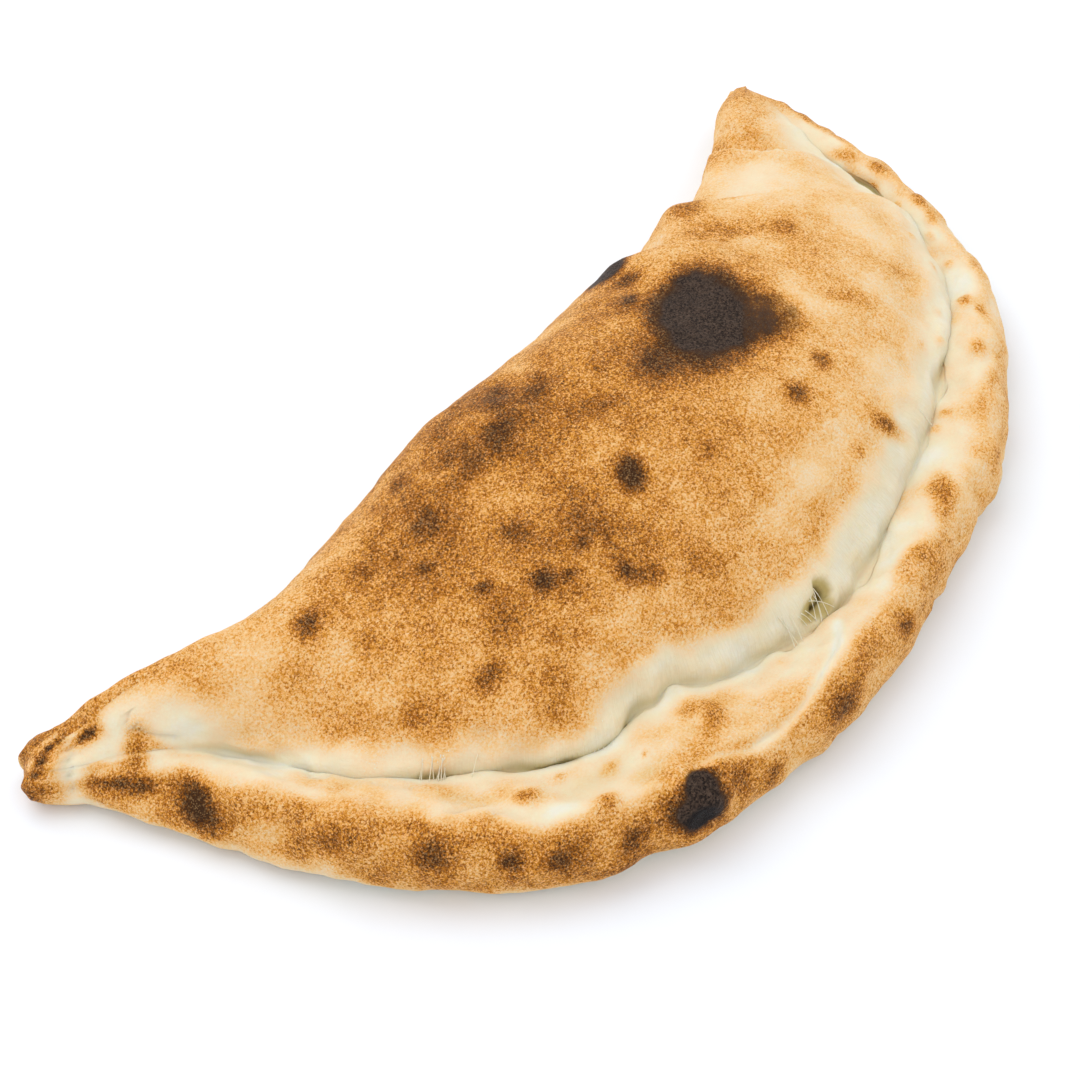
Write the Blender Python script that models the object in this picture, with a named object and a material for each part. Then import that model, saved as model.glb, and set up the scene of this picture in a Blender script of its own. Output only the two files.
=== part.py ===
"""A baked calzone: a round of dough folded over its filling and sealed along a rolled rim.

The pie is one closed body. Rings of points run round it, one above the other: out from the
flat base, round the rolled rim, down into the seam, and up the dome to the crest line, where
the rim side and the fold side meet. Each ring has the same number of points, so neighbouring
rings are joined point to point. Lengths are in metres, except in the tables, whose heights
and widths are in millimetres. +X runs along the fold and +Z is up.
"""

import bmesh
import bpy
import numpy as np

MM = 0.001
NODE_NAME = "calzone"

# A place along the pie is v: 0 at the tail and 1 at the far tip, on the rim and on the fold.
# BUMPS are rounded swellings: place, half width and height.
# STEPS are eased changes of level: where each starts, where it ends, and its rise.

# Plan of the rim's widest line: a superellipse.
HALF_LENGTH = 151 * MM
RIM_REACH = 147 * MM
PLAN_CENTRE = (3 * MM, 2 * MM)
PLAN_POWER = 2.15
OUTLINE_BUMPS = (
    (0.006, 0.013, 3.5), (0.08, 0.07, -3.6), (0.31, 0.085, 5.2), (0.47, 0.03, 1.0),
    (0.575, 0.06, -3.3), (0.77, 0.06, 2.5), (0.985, 0.01, 1.5), (1.0, 0.02, 2.0),
)
OUTLINE_STEPS = ((0.74, 0.86, 3.4), (0.90, 0.97, -1.4))
TAIL_CORNER = (0.02, 4.5, 6.0)
TAIL_HEEL = (0.008, 0.006, -6.0)
TIP_CORNER = (0.985, -2.0, 3.0)

# Plan of the fold's widest line: straight, with a horn at each tip.
FOLD_LINE_Y = -15.2 * MM
FOLD_OVERHANG = 6 * MM
HORN_SLOPE = 0.44
HORN_STARTS = (-97 * MM, 101 * MM)
HORN_SOFTNESS = 6 * MM
FOLD_BUMPS = ((-141, 7, 6.0), (74, 26, -2.5), (142, 8, 1.5))

# Crest of the dome: a bow in plan, and its height along x.
CREST_CENTRE_X = 3 * MM
CREST_HALF_LENGTH = 145 * MM
CREST_END_SHARE = 0.53
CREST_Y = -48 * MM
CREST_BOW = 48 * MM
CREST_BOW_POWER = 1.95
DOME_HEIGHT = 50 * MM
TAIL_SLOPE = 0.2
TAIL_SLOPE_START = -5 * MM
TAIL_SLOPE_SOFTNESS = 15 * MM
CREST_BUMPS = ((-110, 22, 3.5), (-25, 28, 3.0))
CREST_STEPS = ((8, 48, -5.5), (50, 82, -7.5), (78, 102, -8.0), (96, 120, -8.0))

# Profile from the rim to the crest.
DOME_POWER = 2.2
DOME_FULLNESS = 0.72
RIM_HEIGHT = 21 * MM
RIM_HEIGHT_BUMPS = ((0.365, 0.045, 1.5),)
RIM_HEIGHT_STEPS = ((0.10, 0.0, -5.0), (0.68, 0.84, -4.5))
RIM_WAIST = 9 * MM
RIM_WAIST_STEPS = ((0.05, 0.0, -2.0), (0.68, 0.84, -2.0))
RIM_ROUND = 10 * MM
RIM_ROUND_LIMIT = 0.55
RIM_BASE_INSET = 9 * MM
RIM_WIDTH = 17 * MM
RIM_WIDTH_BUMPS = ((0.365, 0.03, 6.5), (0.64, 0.07, 1.9))
RIM_WIDTH_STEPS = ((0.0, 0.25, 9.5), (0.38, 0.53, -9.0), (0.70, 0.83, -6.0))
DOME_FOOT_STEPS = ((0.0, 0.25, 9.5), (0.38, 0.60, -8.0), (0.68, 0.85, -6.0))
SEAM_HEIGHT = 15.5 * MM
SEAM_HEIGHT_STEPS = ((0.10, 0.0, -2.0), (0.68, 0.84, -3.0))
SEAM_FALL_POWER = 1.6
SEAM_DEPTH = 2.5 * MM
SEAM_ENDS = ((0.02, 0.2), (0.9, 1.0))
LIP_BUMPS = ((0.365, 0.035, 6.0),)

# Profile from the fold to the crest.
FOLD_WAIST = 14 * MM
FOLD_WAIST_STEPS = ((0.15, 0.0, -5.0), (0.85, 1.0, -5.0))
FOLD_BASE_INSET = 14 * MM
FOLD_POWER = 2.1

# Limits on the widths above, as shares of the way from outline to crest.
INSET_LIMIT = 0.4
WIDTH_LIMIT = 0.8
LIMIT_SHARPNESS = 4

# Tips: the columns turn towards each other, the rim fades out and the dough thins.
FAN_SPAN = 0.10
RIM_FADE = 0.09
TAIL_THINNING = 0.36
TAIL_THIN_SPAN = (-122 * MM, -146 * MM)
TIP_THINNING = 0.2
TIP_THIN_SPAN = (132 * MM, 155 * MM)

# Wrinkles across the far end of the fold and the dome: place along v, and height.
WRINKLES = ((0.830, 2.2), (0.915, 3.4), (0.965, 1.6))
WRINKLE_EDGE = 0.010
WRINKLE_REACH = 0.035

# Blister on the rim and hollow of the neck before the tail.
BLISTER_AT = (-66 * MM, -125 * MM)
BLISTER_RADIUS = 9 * MM
BLISTER_HEIGHT = 2.2 * MM
NECK_X = -137 * MM
NECK_WIDTH = 4 * MM
NECK_DEPTH = 1.5 * MM

# Mesh: columns on each side, and the ring stages between the base (0) and the crest (1).
COLUMNS = 92
END_CROWDING = 0.09
UNDER_END = 0.15
OUTER_END = 0.40
SEAM_AT = 0.56
SEAM_HALF_WIDTH = 0.012
DOME_START = 0.04
RELIEF_UPRIGHT_FROM = 0.8
UNDER_RINGS = 4
OUTER_RINGS = 6
INNER_RINGS = 4
DOME_RINGS = 11
MERGE_DISTANCE = 0.01 * MM
TINY = 1e-15

CRUST_COLOUR = (0.55, 0.27, 0.07, 1.0)
CRUST_ROUGHNESS = 0.75


def smooth(start, end, x):
    """Ease from 0 at start to 1 at end."""
    t = np.clip((x - start) / (end - start), 0, 1)
    return t * t * (3 - 2 * t)


def hill(x, centre, width):
    """A bell of height 1 at the centre."""
    return np.exp(-((x - centre) / width) ** 2)


def bumps(x, table):
    """Sum of the bumps of a table, in metres."""
    return MM * sum(height * hill(x, place, width) for place, width, height in table)


def steps(x, table):
    """Sum of the steps of a table, in metres."""
    return MM * sum(rise * smooth(start, end, x) for start, end, rise in table)


def ramp(x, softness):
    """0 below x = 0, and x above it, with a soft corner."""
    return softness * np.logaddexp(0, x / softness)


def limited(value, limit):
    """The value where it is well under the limit, bending so that it never passes it."""
    return (value ** -LIMIT_SHARPNESS + limit ** -LIMIT_SHARPNESS) ** (-1 / LIMIT_SHARPNESS)


def unit(x, y):
    length = np.hypot(x, y)
    return x / length, y / length


def turned(start, end, share):
    """The direction between two directions, share of the way from start to end."""
    return unit(start[0] + (end[0] - start[0]) * share, start[1] + (end[1] - start[1]) * share)


def between(spans, v):
    """1 between two spans, easing to 0 across each of them."""
    (tail_start, tail_end), (tip_start, tip_end) = spans
    return smooth(tail_start, tail_end, v) * smooth(tip_end, tip_start, v)


def rim_outline(v):
    """Widest line of the rim: a superellipse with its own swellings, and cornered ends."""
    scale = 1 + (bumps(v, OUTLINE_BUMPS) + steps(v, OUTLINE_STEPS)) / HALF_LENGTH
    along, across = np.cos(np.pi * v), np.sin(np.pi * v)
    power = 2 / PLAN_POWER
    x = PLAN_CENTRE[0] - HALF_LENGTH * scale * np.sign(along) * np.abs(along) ** power
    y = PLAN_CENTRE[1] - RIM_REACH * scale * np.abs(across) ** power
    tail_corner = smooth(TAIL_CORNER[0], 0, v)
    tip_corner = smooth(TIP_CORNER[0], 1, v)
    x += MM * (TAIL_CORNER[1] * tail_corner + TIP_CORNER[1] * tip_corner)
    y += MM * (TAIL_CORNER[2] * tail_corner + TIP_CORNER[2] * tip_corner)
    return x + bumps(v, (TAIL_HEEL,)), y


def crest_line(v):
    """Top of the dome: a bow in plan, high in the middle and low towards both ends."""
    q = 2 * v - 1
    s = (1 - CREST_END_SHARE) * q + CREST_END_SHARE * q ** 3
    x = CREST_CENTRE_X + CREST_HALF_LENGTH * s
    y = CREST_Y + CREST_BOW * np.abs(s) ** CREST_BOW_POWER
    z = DOME_HEIGHT + bumps(x / MM, CREST_BUMPS) + steps(x / MM, CREST_STEPS)
    return x, y, z - TAIL_SLOPE * ramp(TAIL_SLOPE_START - x, TAIL_SLOPE_SOFTNESS)


def fold_outline(v):
    """Widest line of the fold: nearly straight, with a horn at each tip and a flared tail."""
    x = crest_line(v)[0] + FOLD_OVERHANG * (2 * v - 1) ** 5
    tail_horn = ramp(HORN_STARTS[0] - x, HORN_SOFTNESS)
    tip_horn = ramp(x - HORN_STARTS[1], HORN_SOFTNESS)
    y = FOLD_LINE_Y + HORN_SLOPE * (tail_horn + tip_horn) + bumps(x / MM, FOLD_BUMPS)
    return x, y


def columns(start, end, side, v):
    """Hermite curves in plan from start to end, square to both lines away from the tips.

    Returns a function of the share of the way along, and the straight distance.
    """
    reach = np.hypot(end[0] - start[0], end[1] - start[1])
    chord = unit(end[0] - start[0], end[1] - start[1])
    squared = between(((0, FAN_SPAN), (1 - FAN_SPAN, 1)), v)
    ways = []
    for line in (start, end):
        way = unit(np.gradient(line[0], axis=1), np.gradient(line[1], axis=1))
        ways.append(turned(chord, (-side * way[1], side * way[0]), squared))
    leave, arrive = ways

    def at(f):
        leave_part = f * (1 - f) ** 2 * reach
        arrive_part = f * f * (f - 1) * reach
        end_part = f * f * (3 - 2 * f)
        return [
            start[i] + (end[i] - start[i]) * end_part + leave[i] * leave_part + arrive[i] * arrive_part
            for i in (0, 1)
        ]

    return at, reach


def rim_profile(v, r, reach, crest):
    """Way in from the outline, and height, on the rim side.

    Quarter ellipses run under and over the waist, then the rim falls to the seam, and a
    superellipse dome rises from its foot to the crest.
    """
    under = np.clip(r / UNDER_END, 0, 1) * np.pi / 2
    outer = np.clip((r - UNDER_END) / (OUTER_END - UNDER_END), 0, 1) * np.pi / 2
    inner = np.clip((r - OUTER_END) / (SEAM_AT - OUTER_END), 0, 1)
    dome = np.clip((r - SEAM_AT) / (1 - SEAM_AT), 0, 1)

    width = RIM_WIDTH + bumps(v, RIM_WIDTH_BUMPS) + steps(v, RIM_WIDTH_STEPS)
    width = limited(width, WIDTH_LIMIT * reach)
    rounding = limited(RIM_ROUND, RIM_ROUND_LIMIT * width)
    way_in = (
        limited(RIM_BASE_INSET, INSET_LIMIT * reach) * (1 - np.sin(under))
        + rounding * (1 - np.cos(outer)) + (width - rounding) * inner + (reach - width) * dome
    )
    even_foot = limited(RIM_WIDTH + steps(v, DOME_FOOT_STEPS), WIDTH_LIMIT * reach)
    foot = width + (even_foot - width) * smooth(0, 0.2, dome)
    rise = np.clip((way_in - foot) / (reach - foot), 0, 1) * (dome > 0)

    waist = RIM_WAIST + steps(v, RIM_WAIST_STEPS)
    top = RIM_HEIGHT + bumps(v, RIM_HEIGHT_BUMPS) + steps(v, RIM_HEIGHT_STEPS)
    seam = SEAM_HEIGHT + steps(v, SEAM_HEIGHT_STEPS)
    lip = bumps(v, LIP_BUMPS)
    groove = SEAM_DEPTH * between(SEAM_ENDS, v) * hill(r, SEAM_AT, SEAM_HALF_WIDTH)
    height = (
        waist * (1 - np.cos(under)) + (top - waist) * np.sin(outer)
        - (top - seam - lip) * inner ** SEAM_FALL_POWER - lip * smooth(0, 0.2, dome)
        + (crest - seam) * (1 - (1 - rise) ** DOME_POWER) ** DOME_FULLNESS - groove
    )
    return way_in, height


def fold_profile(v, r, reach, crest):
    """Way in and height on the fold side: one superellipse from the waist to the crest."""
    under = np.clip(r / UNDER_END, 0, 1) * np.pi / 2
    over = np.clip((r - UNDER_END) / (1 - UNDER_END), 0, 1) * np.pi / 2
    waist = FOLD_WAIST + steps(v, FOLD_WAIST_STEPS)
    power = 2 / FOLD_POWER
    inset = limited(FOLD_BASE_INSET, INSET_LIMIT * reach)
    way_in = inset * (1 - np.sin(under)) + reach * (1 - np.cos(over) ** power)
    height = waist * (1 - np.cos(under)) + (crest - waist) * np.sin(over) ** power
    return way_in, height


def side_points(v, r, on_rim):
    """Points of one side of the pie, for columns v and rings r between 0 (base) and 1 (crest).

    Near the tips the rim's profile blends into the fold's, so that both sides meet.
    """
    start = rim_outline(v) if on_rim else fold_outline(v)
    *end, crest = crest_line(v)
    at, reach = columns(start, end, 1 if on_rim else -1, v)
    way_in, z = fold_profile(v, r, reach, crest)
    if on_rim:
        rim_share = between(((0, RIM_FADE), (1 - RIM_FADE, 1)), v)
        rim_in, rim_z = rim_profile(v, r, reach, crest)
        way_in = way_in + rim_share * (rim_in - way_in)
        z = z + rim_share * (rim_z - z)
    x, y = at(way_in / reach)
    thinning = TAIL_THINNING * smooth(*TAIL_THIN_SPAN, x) + TIP_THINNING * smooth(*TIP_THIN_SPAN, x)
    return np.stack([x, y, z * (1 - thinning)], axis=-1)


def both_sides(rim, fold):
    """Values of the rim side from tail to tip, then of the fold side back to the tail."""
    return np.concatenate([rim, fold[:, -2:0:-1]], axis=1)


def relief(points, v, wrinkled):
    """Height of wrinkles, blister and neck hollow above the plain form."""
    x, y = points[..., 0], points[..., 1]
    from_blister = ((x - BLISTER_AT[0]) ** 2 + (y - BLISTER_AT[1]) ** 2) / BLISTER_RADIUS ** 2
    height = BLISTER_HEIGHT * np.exp(-from_blister ** 2) - NECK_DEPTH * hill(x, NECK_X, NECK_WIDTH)
    for place, wrinkle in WRINKLES:
        before = place - v
        step = np.tanh(before / WRINKLE_EDGE) * np.exp(-np.abs(before) / WRINKLE_REACH)
        height += wrinkle * MM * wrinkled * step
    return height


def ways_out(points, r):
    """Unit normals, turning straight up towards the crest, where the two sides meet."""
    around = np.roll(points, -1, axis=1) - np.roll(points, 1, axis=1)
    inward = np.gradient(points, axis=0)
    normal = np.cross(around, inward)
    normal /= np.maximum(np.linalg.norm(normal, axis=-1, keepdims=True), TINY)
    upward = smooth(RELIEF_UPRIGHT_FROM, 1, r)[..., np.newaxis]
    return (1 - upward) * normal + upward * np.array([0, 0, 1])


def column_places():
    """Values of v from tail to far tip, closer together towards both ends."""
    t = np.linspace(0, 1, COLUMNS + 1)
    return t - END_CROWDING * np.sin(2 * np.pi * t)


def ring_stages():
    """Ring values from the base to the crest, with three close rings across the seam."""
    return np.concatenate([
        np.linspace(0, UNDER_END, UNDER_RINGS, endpoint=False),
        np.linspace(UNDER_END, OUTER_END, OUTER_RINGS, endpoint=False),
        np.linspace(OUTER_END, SEAM_AT - SEAM_HALF_WIDTH, INNER_RINGS),
        [SEAM_AT],
        SEAM_AT + (1 - SEAM_AT) * np.linspace(DOME_START, 1, DOME_RINGS),
    ])


def pie_points():
    """All rings as one array of shape (rings, points round a ring, 3), centred on its base."""
    v = column_places()[np.newaxis, :]
    r = ring_stages()[:, np.newaxis]
    points = both_sides(side_points(v, r, True), side_points(v, r, False))
    wrinkled = both_sides(smooth(SEAM_AT + 0.1, 0.92, r) + 0 * v, smooth(0.05, 0.3, r) + 0 * v)
    height = relief(points, both_sides(v, v), wrinkled) * smooth(0, UNDER_END, r)
    points = points + ways_out(points, r) * height[..., np.newaxis]
    low, high = points.min(axis=(0, 1)), points.max(axis=(0, 1))
    points[..., :2] -= (low[:2] + high[:2]) / 2
    return points


def crust_material():
    material = bpy.data.materials.new("baked_crust")
    material.use_nodes = True
    shader = material.node_tree.nodes["Principled BSDF"]
    shader.inputs["Base Color"].default_value = CRUST_COLOUR
    shader.inputs["Roughness"].default_value = CRUST_ROUGHNESS
    shader.inputs["Metallic"].default_value = 0.0
    return material


def make_calzone():
    mesh = bmesh.new()
    rings = [[mesh.verts.new(point) for point in ring] for ring in pie_points()]
    for lower, upper in zip(rings, rings[1:]):
        for i in range(len(lower)):
            mesh.faces.new((lower[i - 1], lower[i], upper[i], upper[i - 1]))
    mesh.faces.new(rings[0])
    bmesh.ops.remove_doubles(mesh, verts=mesh.verts, dist=MERGE_DISTANCE)
    bmesh.ops.recalc_face_normals(mesh, faces=mesh.faces)
    data = bpy.data.meshes.new(NODE_NAME)
    mesh.to_mesh(data)
    mesh.free()
    data.shade_smooth()
    data.materials.append(crust_material())
    pie = bpy.data.objects.new(NODE_NAME, data)
    bpy.context.scene.collection.objects.link(pie)
    return pie


def clear_scene():
    for item in list(bpy.data.objects):
        bpy.data.objects.remove(item, do_unlink=True)


clear_scene()
make_calzone()
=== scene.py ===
"""A baked calzone dressed over its solid: crust, torn dough strands, and a plain stage.

The crust is one closed surface on a grid of places v along the pie and rings r from its base
to its crest. Lengths are in metres, except in the tables, whose sizes are in millimetres.
+X runs along the fold and +Z is up.
"""

import math

import bpy
import numpy as np
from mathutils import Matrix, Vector


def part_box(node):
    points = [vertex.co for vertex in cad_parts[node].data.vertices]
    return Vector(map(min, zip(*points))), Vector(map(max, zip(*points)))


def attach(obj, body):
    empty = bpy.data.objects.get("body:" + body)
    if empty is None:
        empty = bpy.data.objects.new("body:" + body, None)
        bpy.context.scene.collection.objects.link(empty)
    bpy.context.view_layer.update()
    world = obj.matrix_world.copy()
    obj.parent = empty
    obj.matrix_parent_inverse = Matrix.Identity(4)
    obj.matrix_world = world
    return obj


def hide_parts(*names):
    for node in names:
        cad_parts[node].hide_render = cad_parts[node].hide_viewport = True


bl_info = {
    "name": "Calzone",
    "version": (1, 0, 0),
    "blender": (4, 5, 0),
    "location": "View3D > Sidebar > Calzone",
    "description": "Makes a baked calzone and a plain stage to see it on",
    "category": "Add Mesh",
}

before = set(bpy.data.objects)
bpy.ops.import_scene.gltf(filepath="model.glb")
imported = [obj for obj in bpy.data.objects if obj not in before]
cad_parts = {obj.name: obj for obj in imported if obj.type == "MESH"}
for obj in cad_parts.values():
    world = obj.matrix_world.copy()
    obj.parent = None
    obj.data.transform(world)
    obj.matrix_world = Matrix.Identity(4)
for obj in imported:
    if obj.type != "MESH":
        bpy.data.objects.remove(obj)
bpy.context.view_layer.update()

MM = 0.001
SOLID = "calzone"
BODY = "root"

# ---- Plain form of the pie: the solid's rings, on a finer grid and with a closer seam ----

# A place along the pie is v: 0 at the tail and 1 at the far tip, on the rim and on the fold.
# BUMPS are rounded swellings: place, half width and height.
# STEPS are eased changes of level: where each starts, where it ends, and its rise.

# Plan of the rim's widest line: a superellipse.
HALF_LENGTH = 151 * MM
RIM_REACH = 147 * MM
PLAN_CENTRE = (3 * MM, 2 * MM)
PLAN_POWER = 2.15
OUTLINE_BUMPS = (
    (0.006, 0.013, 3.5), (0.08, 0.07, -3.6), (0.31, 0.085, 5.2), (0.47, 0.03, 1),
    (0.575, 0.06, -3.3), (0.77, 0.06, 2.5), (0.985, 0.01, 1.5), (1, 0.02, 2),
)
OUTLINE_STEPS = ((0.74, 0.86, 3.4), (0.9, 0.97, -1.4))
TAIL_CORNER = (0.02, 4.5, 6)
TAIL_HEEL = (0.008, 0.006, -6)
TIP_CORNER = (0.985, -2, 3)

# Plan of the fold's widest line: straight, with a horn at each tip.
FOLD_LINE_Y = -15.2 * MM
FOLD_OVERHANG = 6 * MM
HORN_SLOPE = 0.44
HORN_STARTS = (-97 * MM, 101 * MM)
HORN_SOFTNESS = 6 * MM
FOLD_BUMPS = ((-141, 7, 6), (74, 26, -2.5), (142, 8, 1.5))

# Crest of the dome: a bow in plan, and its height along x.
CREST_CENTRE_X = 3 * MM
CREST_HALF_LENGTH = 145 * MM
CREST_END_SHARE = 0.53
CREST_Y = -48 * MM
CREST_BOW = 48 * MM
CREST_BOW_POWER = 1.95
DOME_HEIGHT = 50 * MM
TAIL_SLOPE = 0.2
TAIL_SLOPE_START = -5 * MM
TAIL_SLOPE_SOFTNESS = 15 * MM
CREST_BUMPS = ((-110, 22, 3.5), (-25, 28, 3))
CREST_STEPS = ((8, 48, -5.5), (50, 82, -7.5), (78, 102, -8), (96, 120, -8))

# Profile from the rim to the crest.
DOME_POWER = 2.2
DOME_FULLNESS = 0.72
RIM_HEIGHT = 21 * MM
RIM_HEIGHT_BUMPS = ((0.365, 0.045, 1.5),)
RIM_HEIGHT_STEPS = ((0.1, 0, -5), (0.68, 0.84, -4.5))
RIM_WAIST = 9 * MM
RIM_WAIST_STEPS = ((0.05, 0, -2), (0.68, 0.84, -2))
RIM_ROUND = 10 * MM
RIM_ROUND_LIMIT = 0.55
RIM_BASE_INSET = 9 * MM
RIM_WIDTH = 17 * MM
RIM_WIDTH_BUMPS = (
    (0.365, 0.03, 6.5), (0.64, 0.07, 1.9), (0.364, 0.01, -3.4), (0.402, 0.012, -0.4),
    (0.452, 0.022, 1.5), (0.165, 0.045, -2.4),
)
RIM_WIDTH_STEPS = ((0, 0.25, 9.5), (0.38, 0.53, -9), (0.7, 0.83, -6))
FOOT_EASE = 0.2
DOME_FOOT_STEPS = ((0, 0.25, 9.5), (0.38, 0.6, -8), (0.68, 0.85, -6))
SEAM_HEIGHT = 15.5 * MM
SEAM_HEIGHT_STEPS = ((0.1, 0, -2), (0.68, 0.84, -3))
SEAM_FALL_POWER = 1.6
SEAM_LIFT_BUMPS = (
    (0.33, 0.12, 2), (0.375, 0.05, 1.2), (0.5, 0.05, 1), (0.66, 0.11, 3.4), (0.82, 0.06, 1.8),
)
SEAM_DEPTH_BUMPS = ((0.12, 0.06, 0.25), (0.34, 0.09, 0.35), (0.6, 0.1, 0.2), (0.9, 0.05, 0.8))
LIP_BUMPS = ((0.372, 0.034, 3.6),)

# Profile from the fold to the crest.
FOLD_WAIST = 14 * MM
FOLD_WAIST_STEPS = ((0.15, 0, -5), (0.85, 1, -5))
FOLD_BASE_INSET = 14 * MM
FOLD_POWER = 2.1

# Limits on the widths above, as shares of the way from outline to crest.
INSET_LIMIT = 0.4
WIDTH_LIMIT = 0.8
LIMIT_SHARPNESS = 4

# Tips: the columns turn towards each other, the rim fades out and the dough thins.
FAN_SPAN = 0.10
RIM_FADE = 0.09
TAIL_THINNING = 0.36
TAIL_THIN_SPAN = (-122 * MM, -146 * MM)
TIP_THINNING = 0.2
TIP_THIN_SPAN = (132 * MM, 155 * MM)

# Grid: columns on each side, and rings from the base to the crest.
COLUMNS = 340
END_CROWDING = 0.035
UNDER_END = 0.15
OUTER_END = 0.40
SEAM_AT = 0.56
SEAM_HALF_WIDTH = 0.012
CRACK_START = 0.550
CRACK_END = 0.580
UNDER_RINGS = 8
OUTER_RINGS = 24
INNER_RINGS = 22
CRACK_RINGS = 20
DOME_RINGS = 70
DOME_CROWDING = 0.25
BASE_ROWS = 8
RELIEF_UPRIGHT_FROM = 0.8
TOP_FADES_OVER = (0.25, 0.5)
BOX_MARGIN = 0.02 * MM
TINY = 1e-15

# ---- Finer forms ----

# How far the crack along the seam is open: place, half width and opening.
CRACK_BUMPS = (
    (0.085, 0.02, 0.4), (0.135, 0.006, 1.1), (0.17, 0.02, 0.8), (0.205, 0.015, 1),
    (0.29, 0.05, 1.2), (0.37, 0.05, 0.5), (0.45, 0.03, 0.5), (0.495, 0.015, 0.8),
    (0.555, 0.04, 0.5), (0.64, 0.03, 0.4), (0.72, 0.04, 0.8), (0.9, 0.022, 1.4),
)

# The crack's depth as a share of its opening, and its half width in rings. The dome's torn edge
# hangs over it by as much as it opens.
CRACK_DEPTH_SHARE = 1.2
CRACK_HALF_WIDTH = 0.0045
OVERHANG_AT = 0.571
OVERHANG_HALF_WIDTH = 0.008

# The seam wanders in and out by a share of the opening, in waves of one size along the rim.
RIM_LENGTH = 494
CRACK_WANDER = 0.14
CRACK_WANDER_SIZE = 9
CRACK_WANDER_SEED = 21

# Painted shade in the crack, the ring where it is darkest, and the opening from which it is full.
CRACK_SHADE = 0.58
CRACK_SHADE_AT = 0.561
CRACK_WIDEST = 1.6

# Dents and swellings of the rim's widest line: place v, half width and height.
OUTLINE_DENTS = (
    (0.022, 0.008, -1.6), (0.065, 0.016, -0.8), (0.094, 0.012, 0.6), (0.165, 0.035, -1),
    (0.25, 0.028, 1.7), (0.334, 0.018, -1.3), (0.438, 0.018, 1.4), (0.49, 0.012, -0.8),
    (0.542, 0.009, -1.7), (0.583, 0.012, 0.8), (0.608, 0.006, -1.2), (0.632, 0.009, 1.5),
    (0.725, 0.03, 0.8), (0.838, 0.024, -2.3), (0.905, 0.012, 0.8), (0.968, 0.012, -0.7),
)
DENTS_FADE_OVER = (0.5, 0.25)

# Hollows and hills on the rim side: place v, ring r, half length, half width and height.
RIM_HILLS = (
    (0.358, 0.2, 9, 7.5, 2.2), (0.357, 0.19, 4.2, 3, -1.3), (0.39, 0.465, 6, 4.5, 1.6),
    (0.264, 0.46, 3.2, 2.4, 0.9), (0.319, 0.48, 3.6, 2.6, 1), (0.31, 0.4, 3.6, 2.6, 0.9),
    (0.285, 0.505, 2.4, 1.8, 0.6), (0.351, 0.355, 2.2, 1.6, 0.5), (0.923, 0.48, 2.4, 1.6, 0.6),
    (0.905, 0.375, 2.6, 1.6, 0.7), (0.863, 0.405, 2.6, 2, 0.8), (0.868, 0.525, 1.8, 1.4, 0.5),
    (0.832, 0.508, 2.4, 1.6, 0.6), (0.827, 0.598, 2, 1.6, 0.5), (0.796, 0.58, 2.4, 1.8, 0.6),
    (0.803, 0.497, 2.4, 1.8, 0.7), (0.762, 0.463, 3, 2.4, 0.9), (0.715, 0.413, 3, 2.2, 0.6),
    (0.749, 0.58, 2, 1.6, 0.5), (0.721, 0.575, 2.2, 1.6, 0.5), (0.646, 0.535, 2.2, 1.6, 0.5),
    (0.66, 0.515, 2, 1.6, 0.5), (0.596, 0.367, 6, 3, 0.8), (0.082, 0.315, 5, 5, 0.8),
    (0.039, 0.557, 3, 3, 0.8), (0.046, 0.393, 3, 3, 0.7), (0.165, 0.275, 8, 5, 0.6),
    (0.117, 0.448, 3, 1.6, 0.6), (0.303, 0.45, 8, 3.5, -0.9), (0.336, 0.43, 5, 3, -0.8),
    (0.225, 0.47, 7, 2.4, -0.6),
)

# Tears in the band above the seam: place v, ring r, half length, half width, depth and painted shade.
TEARS = (
    (0.497, 0.58, 2.3, 3.4, 4, 1), (0.49, 0.573, 2.8, 2.8, 2.8, 0.95),
    (0.485, 0.573, 5, 2.9, 1.5, 0.72), (0.493, 0.569, 4, 3.4, 0.8, 0.6),
)

# Painted shade in sunken raw places on the rim: place v, ring r, half length, half width and shade.
SUNKEN_SHADE = (
    (0.305, 0.47, 15, 4.5, 0.16), (0.338, 0.425, 7, 4, 0.14), (0.225, 0.475, 11, 3, 0.13),
    (0.1, 0.55, 13, 2.5, 0.1), (0.165, 0.505, 11, 2.6, 0.12), (0.875, 0.53, 7, 2.5, 0.12),
)

# Lines on the rim side, as points (v, r): a fold behind the char, and the tail's neck and slit.
FOLD_LINE = (
    (0.489, 0.5), (0.476, 0.434), (0.45, 0.379), (0.436, 0.345), (0.418, 0.3), (0.397, 0.3),
    (0.376, 0.362), (0.362, 0.358), (0.355, 0.348),
)
NECK_LINE = (
    (0.008, 0.95), (0.011, 0.8), (0.014, 0.62), (0.016, 0.47), (0.018, 0.3), (0.02, 0.15),
)
SLIT_LINE = ((0.0045, 0.8), (0.006, 0.68), (0.008, 0.58), (0.009, 0.49))

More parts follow.
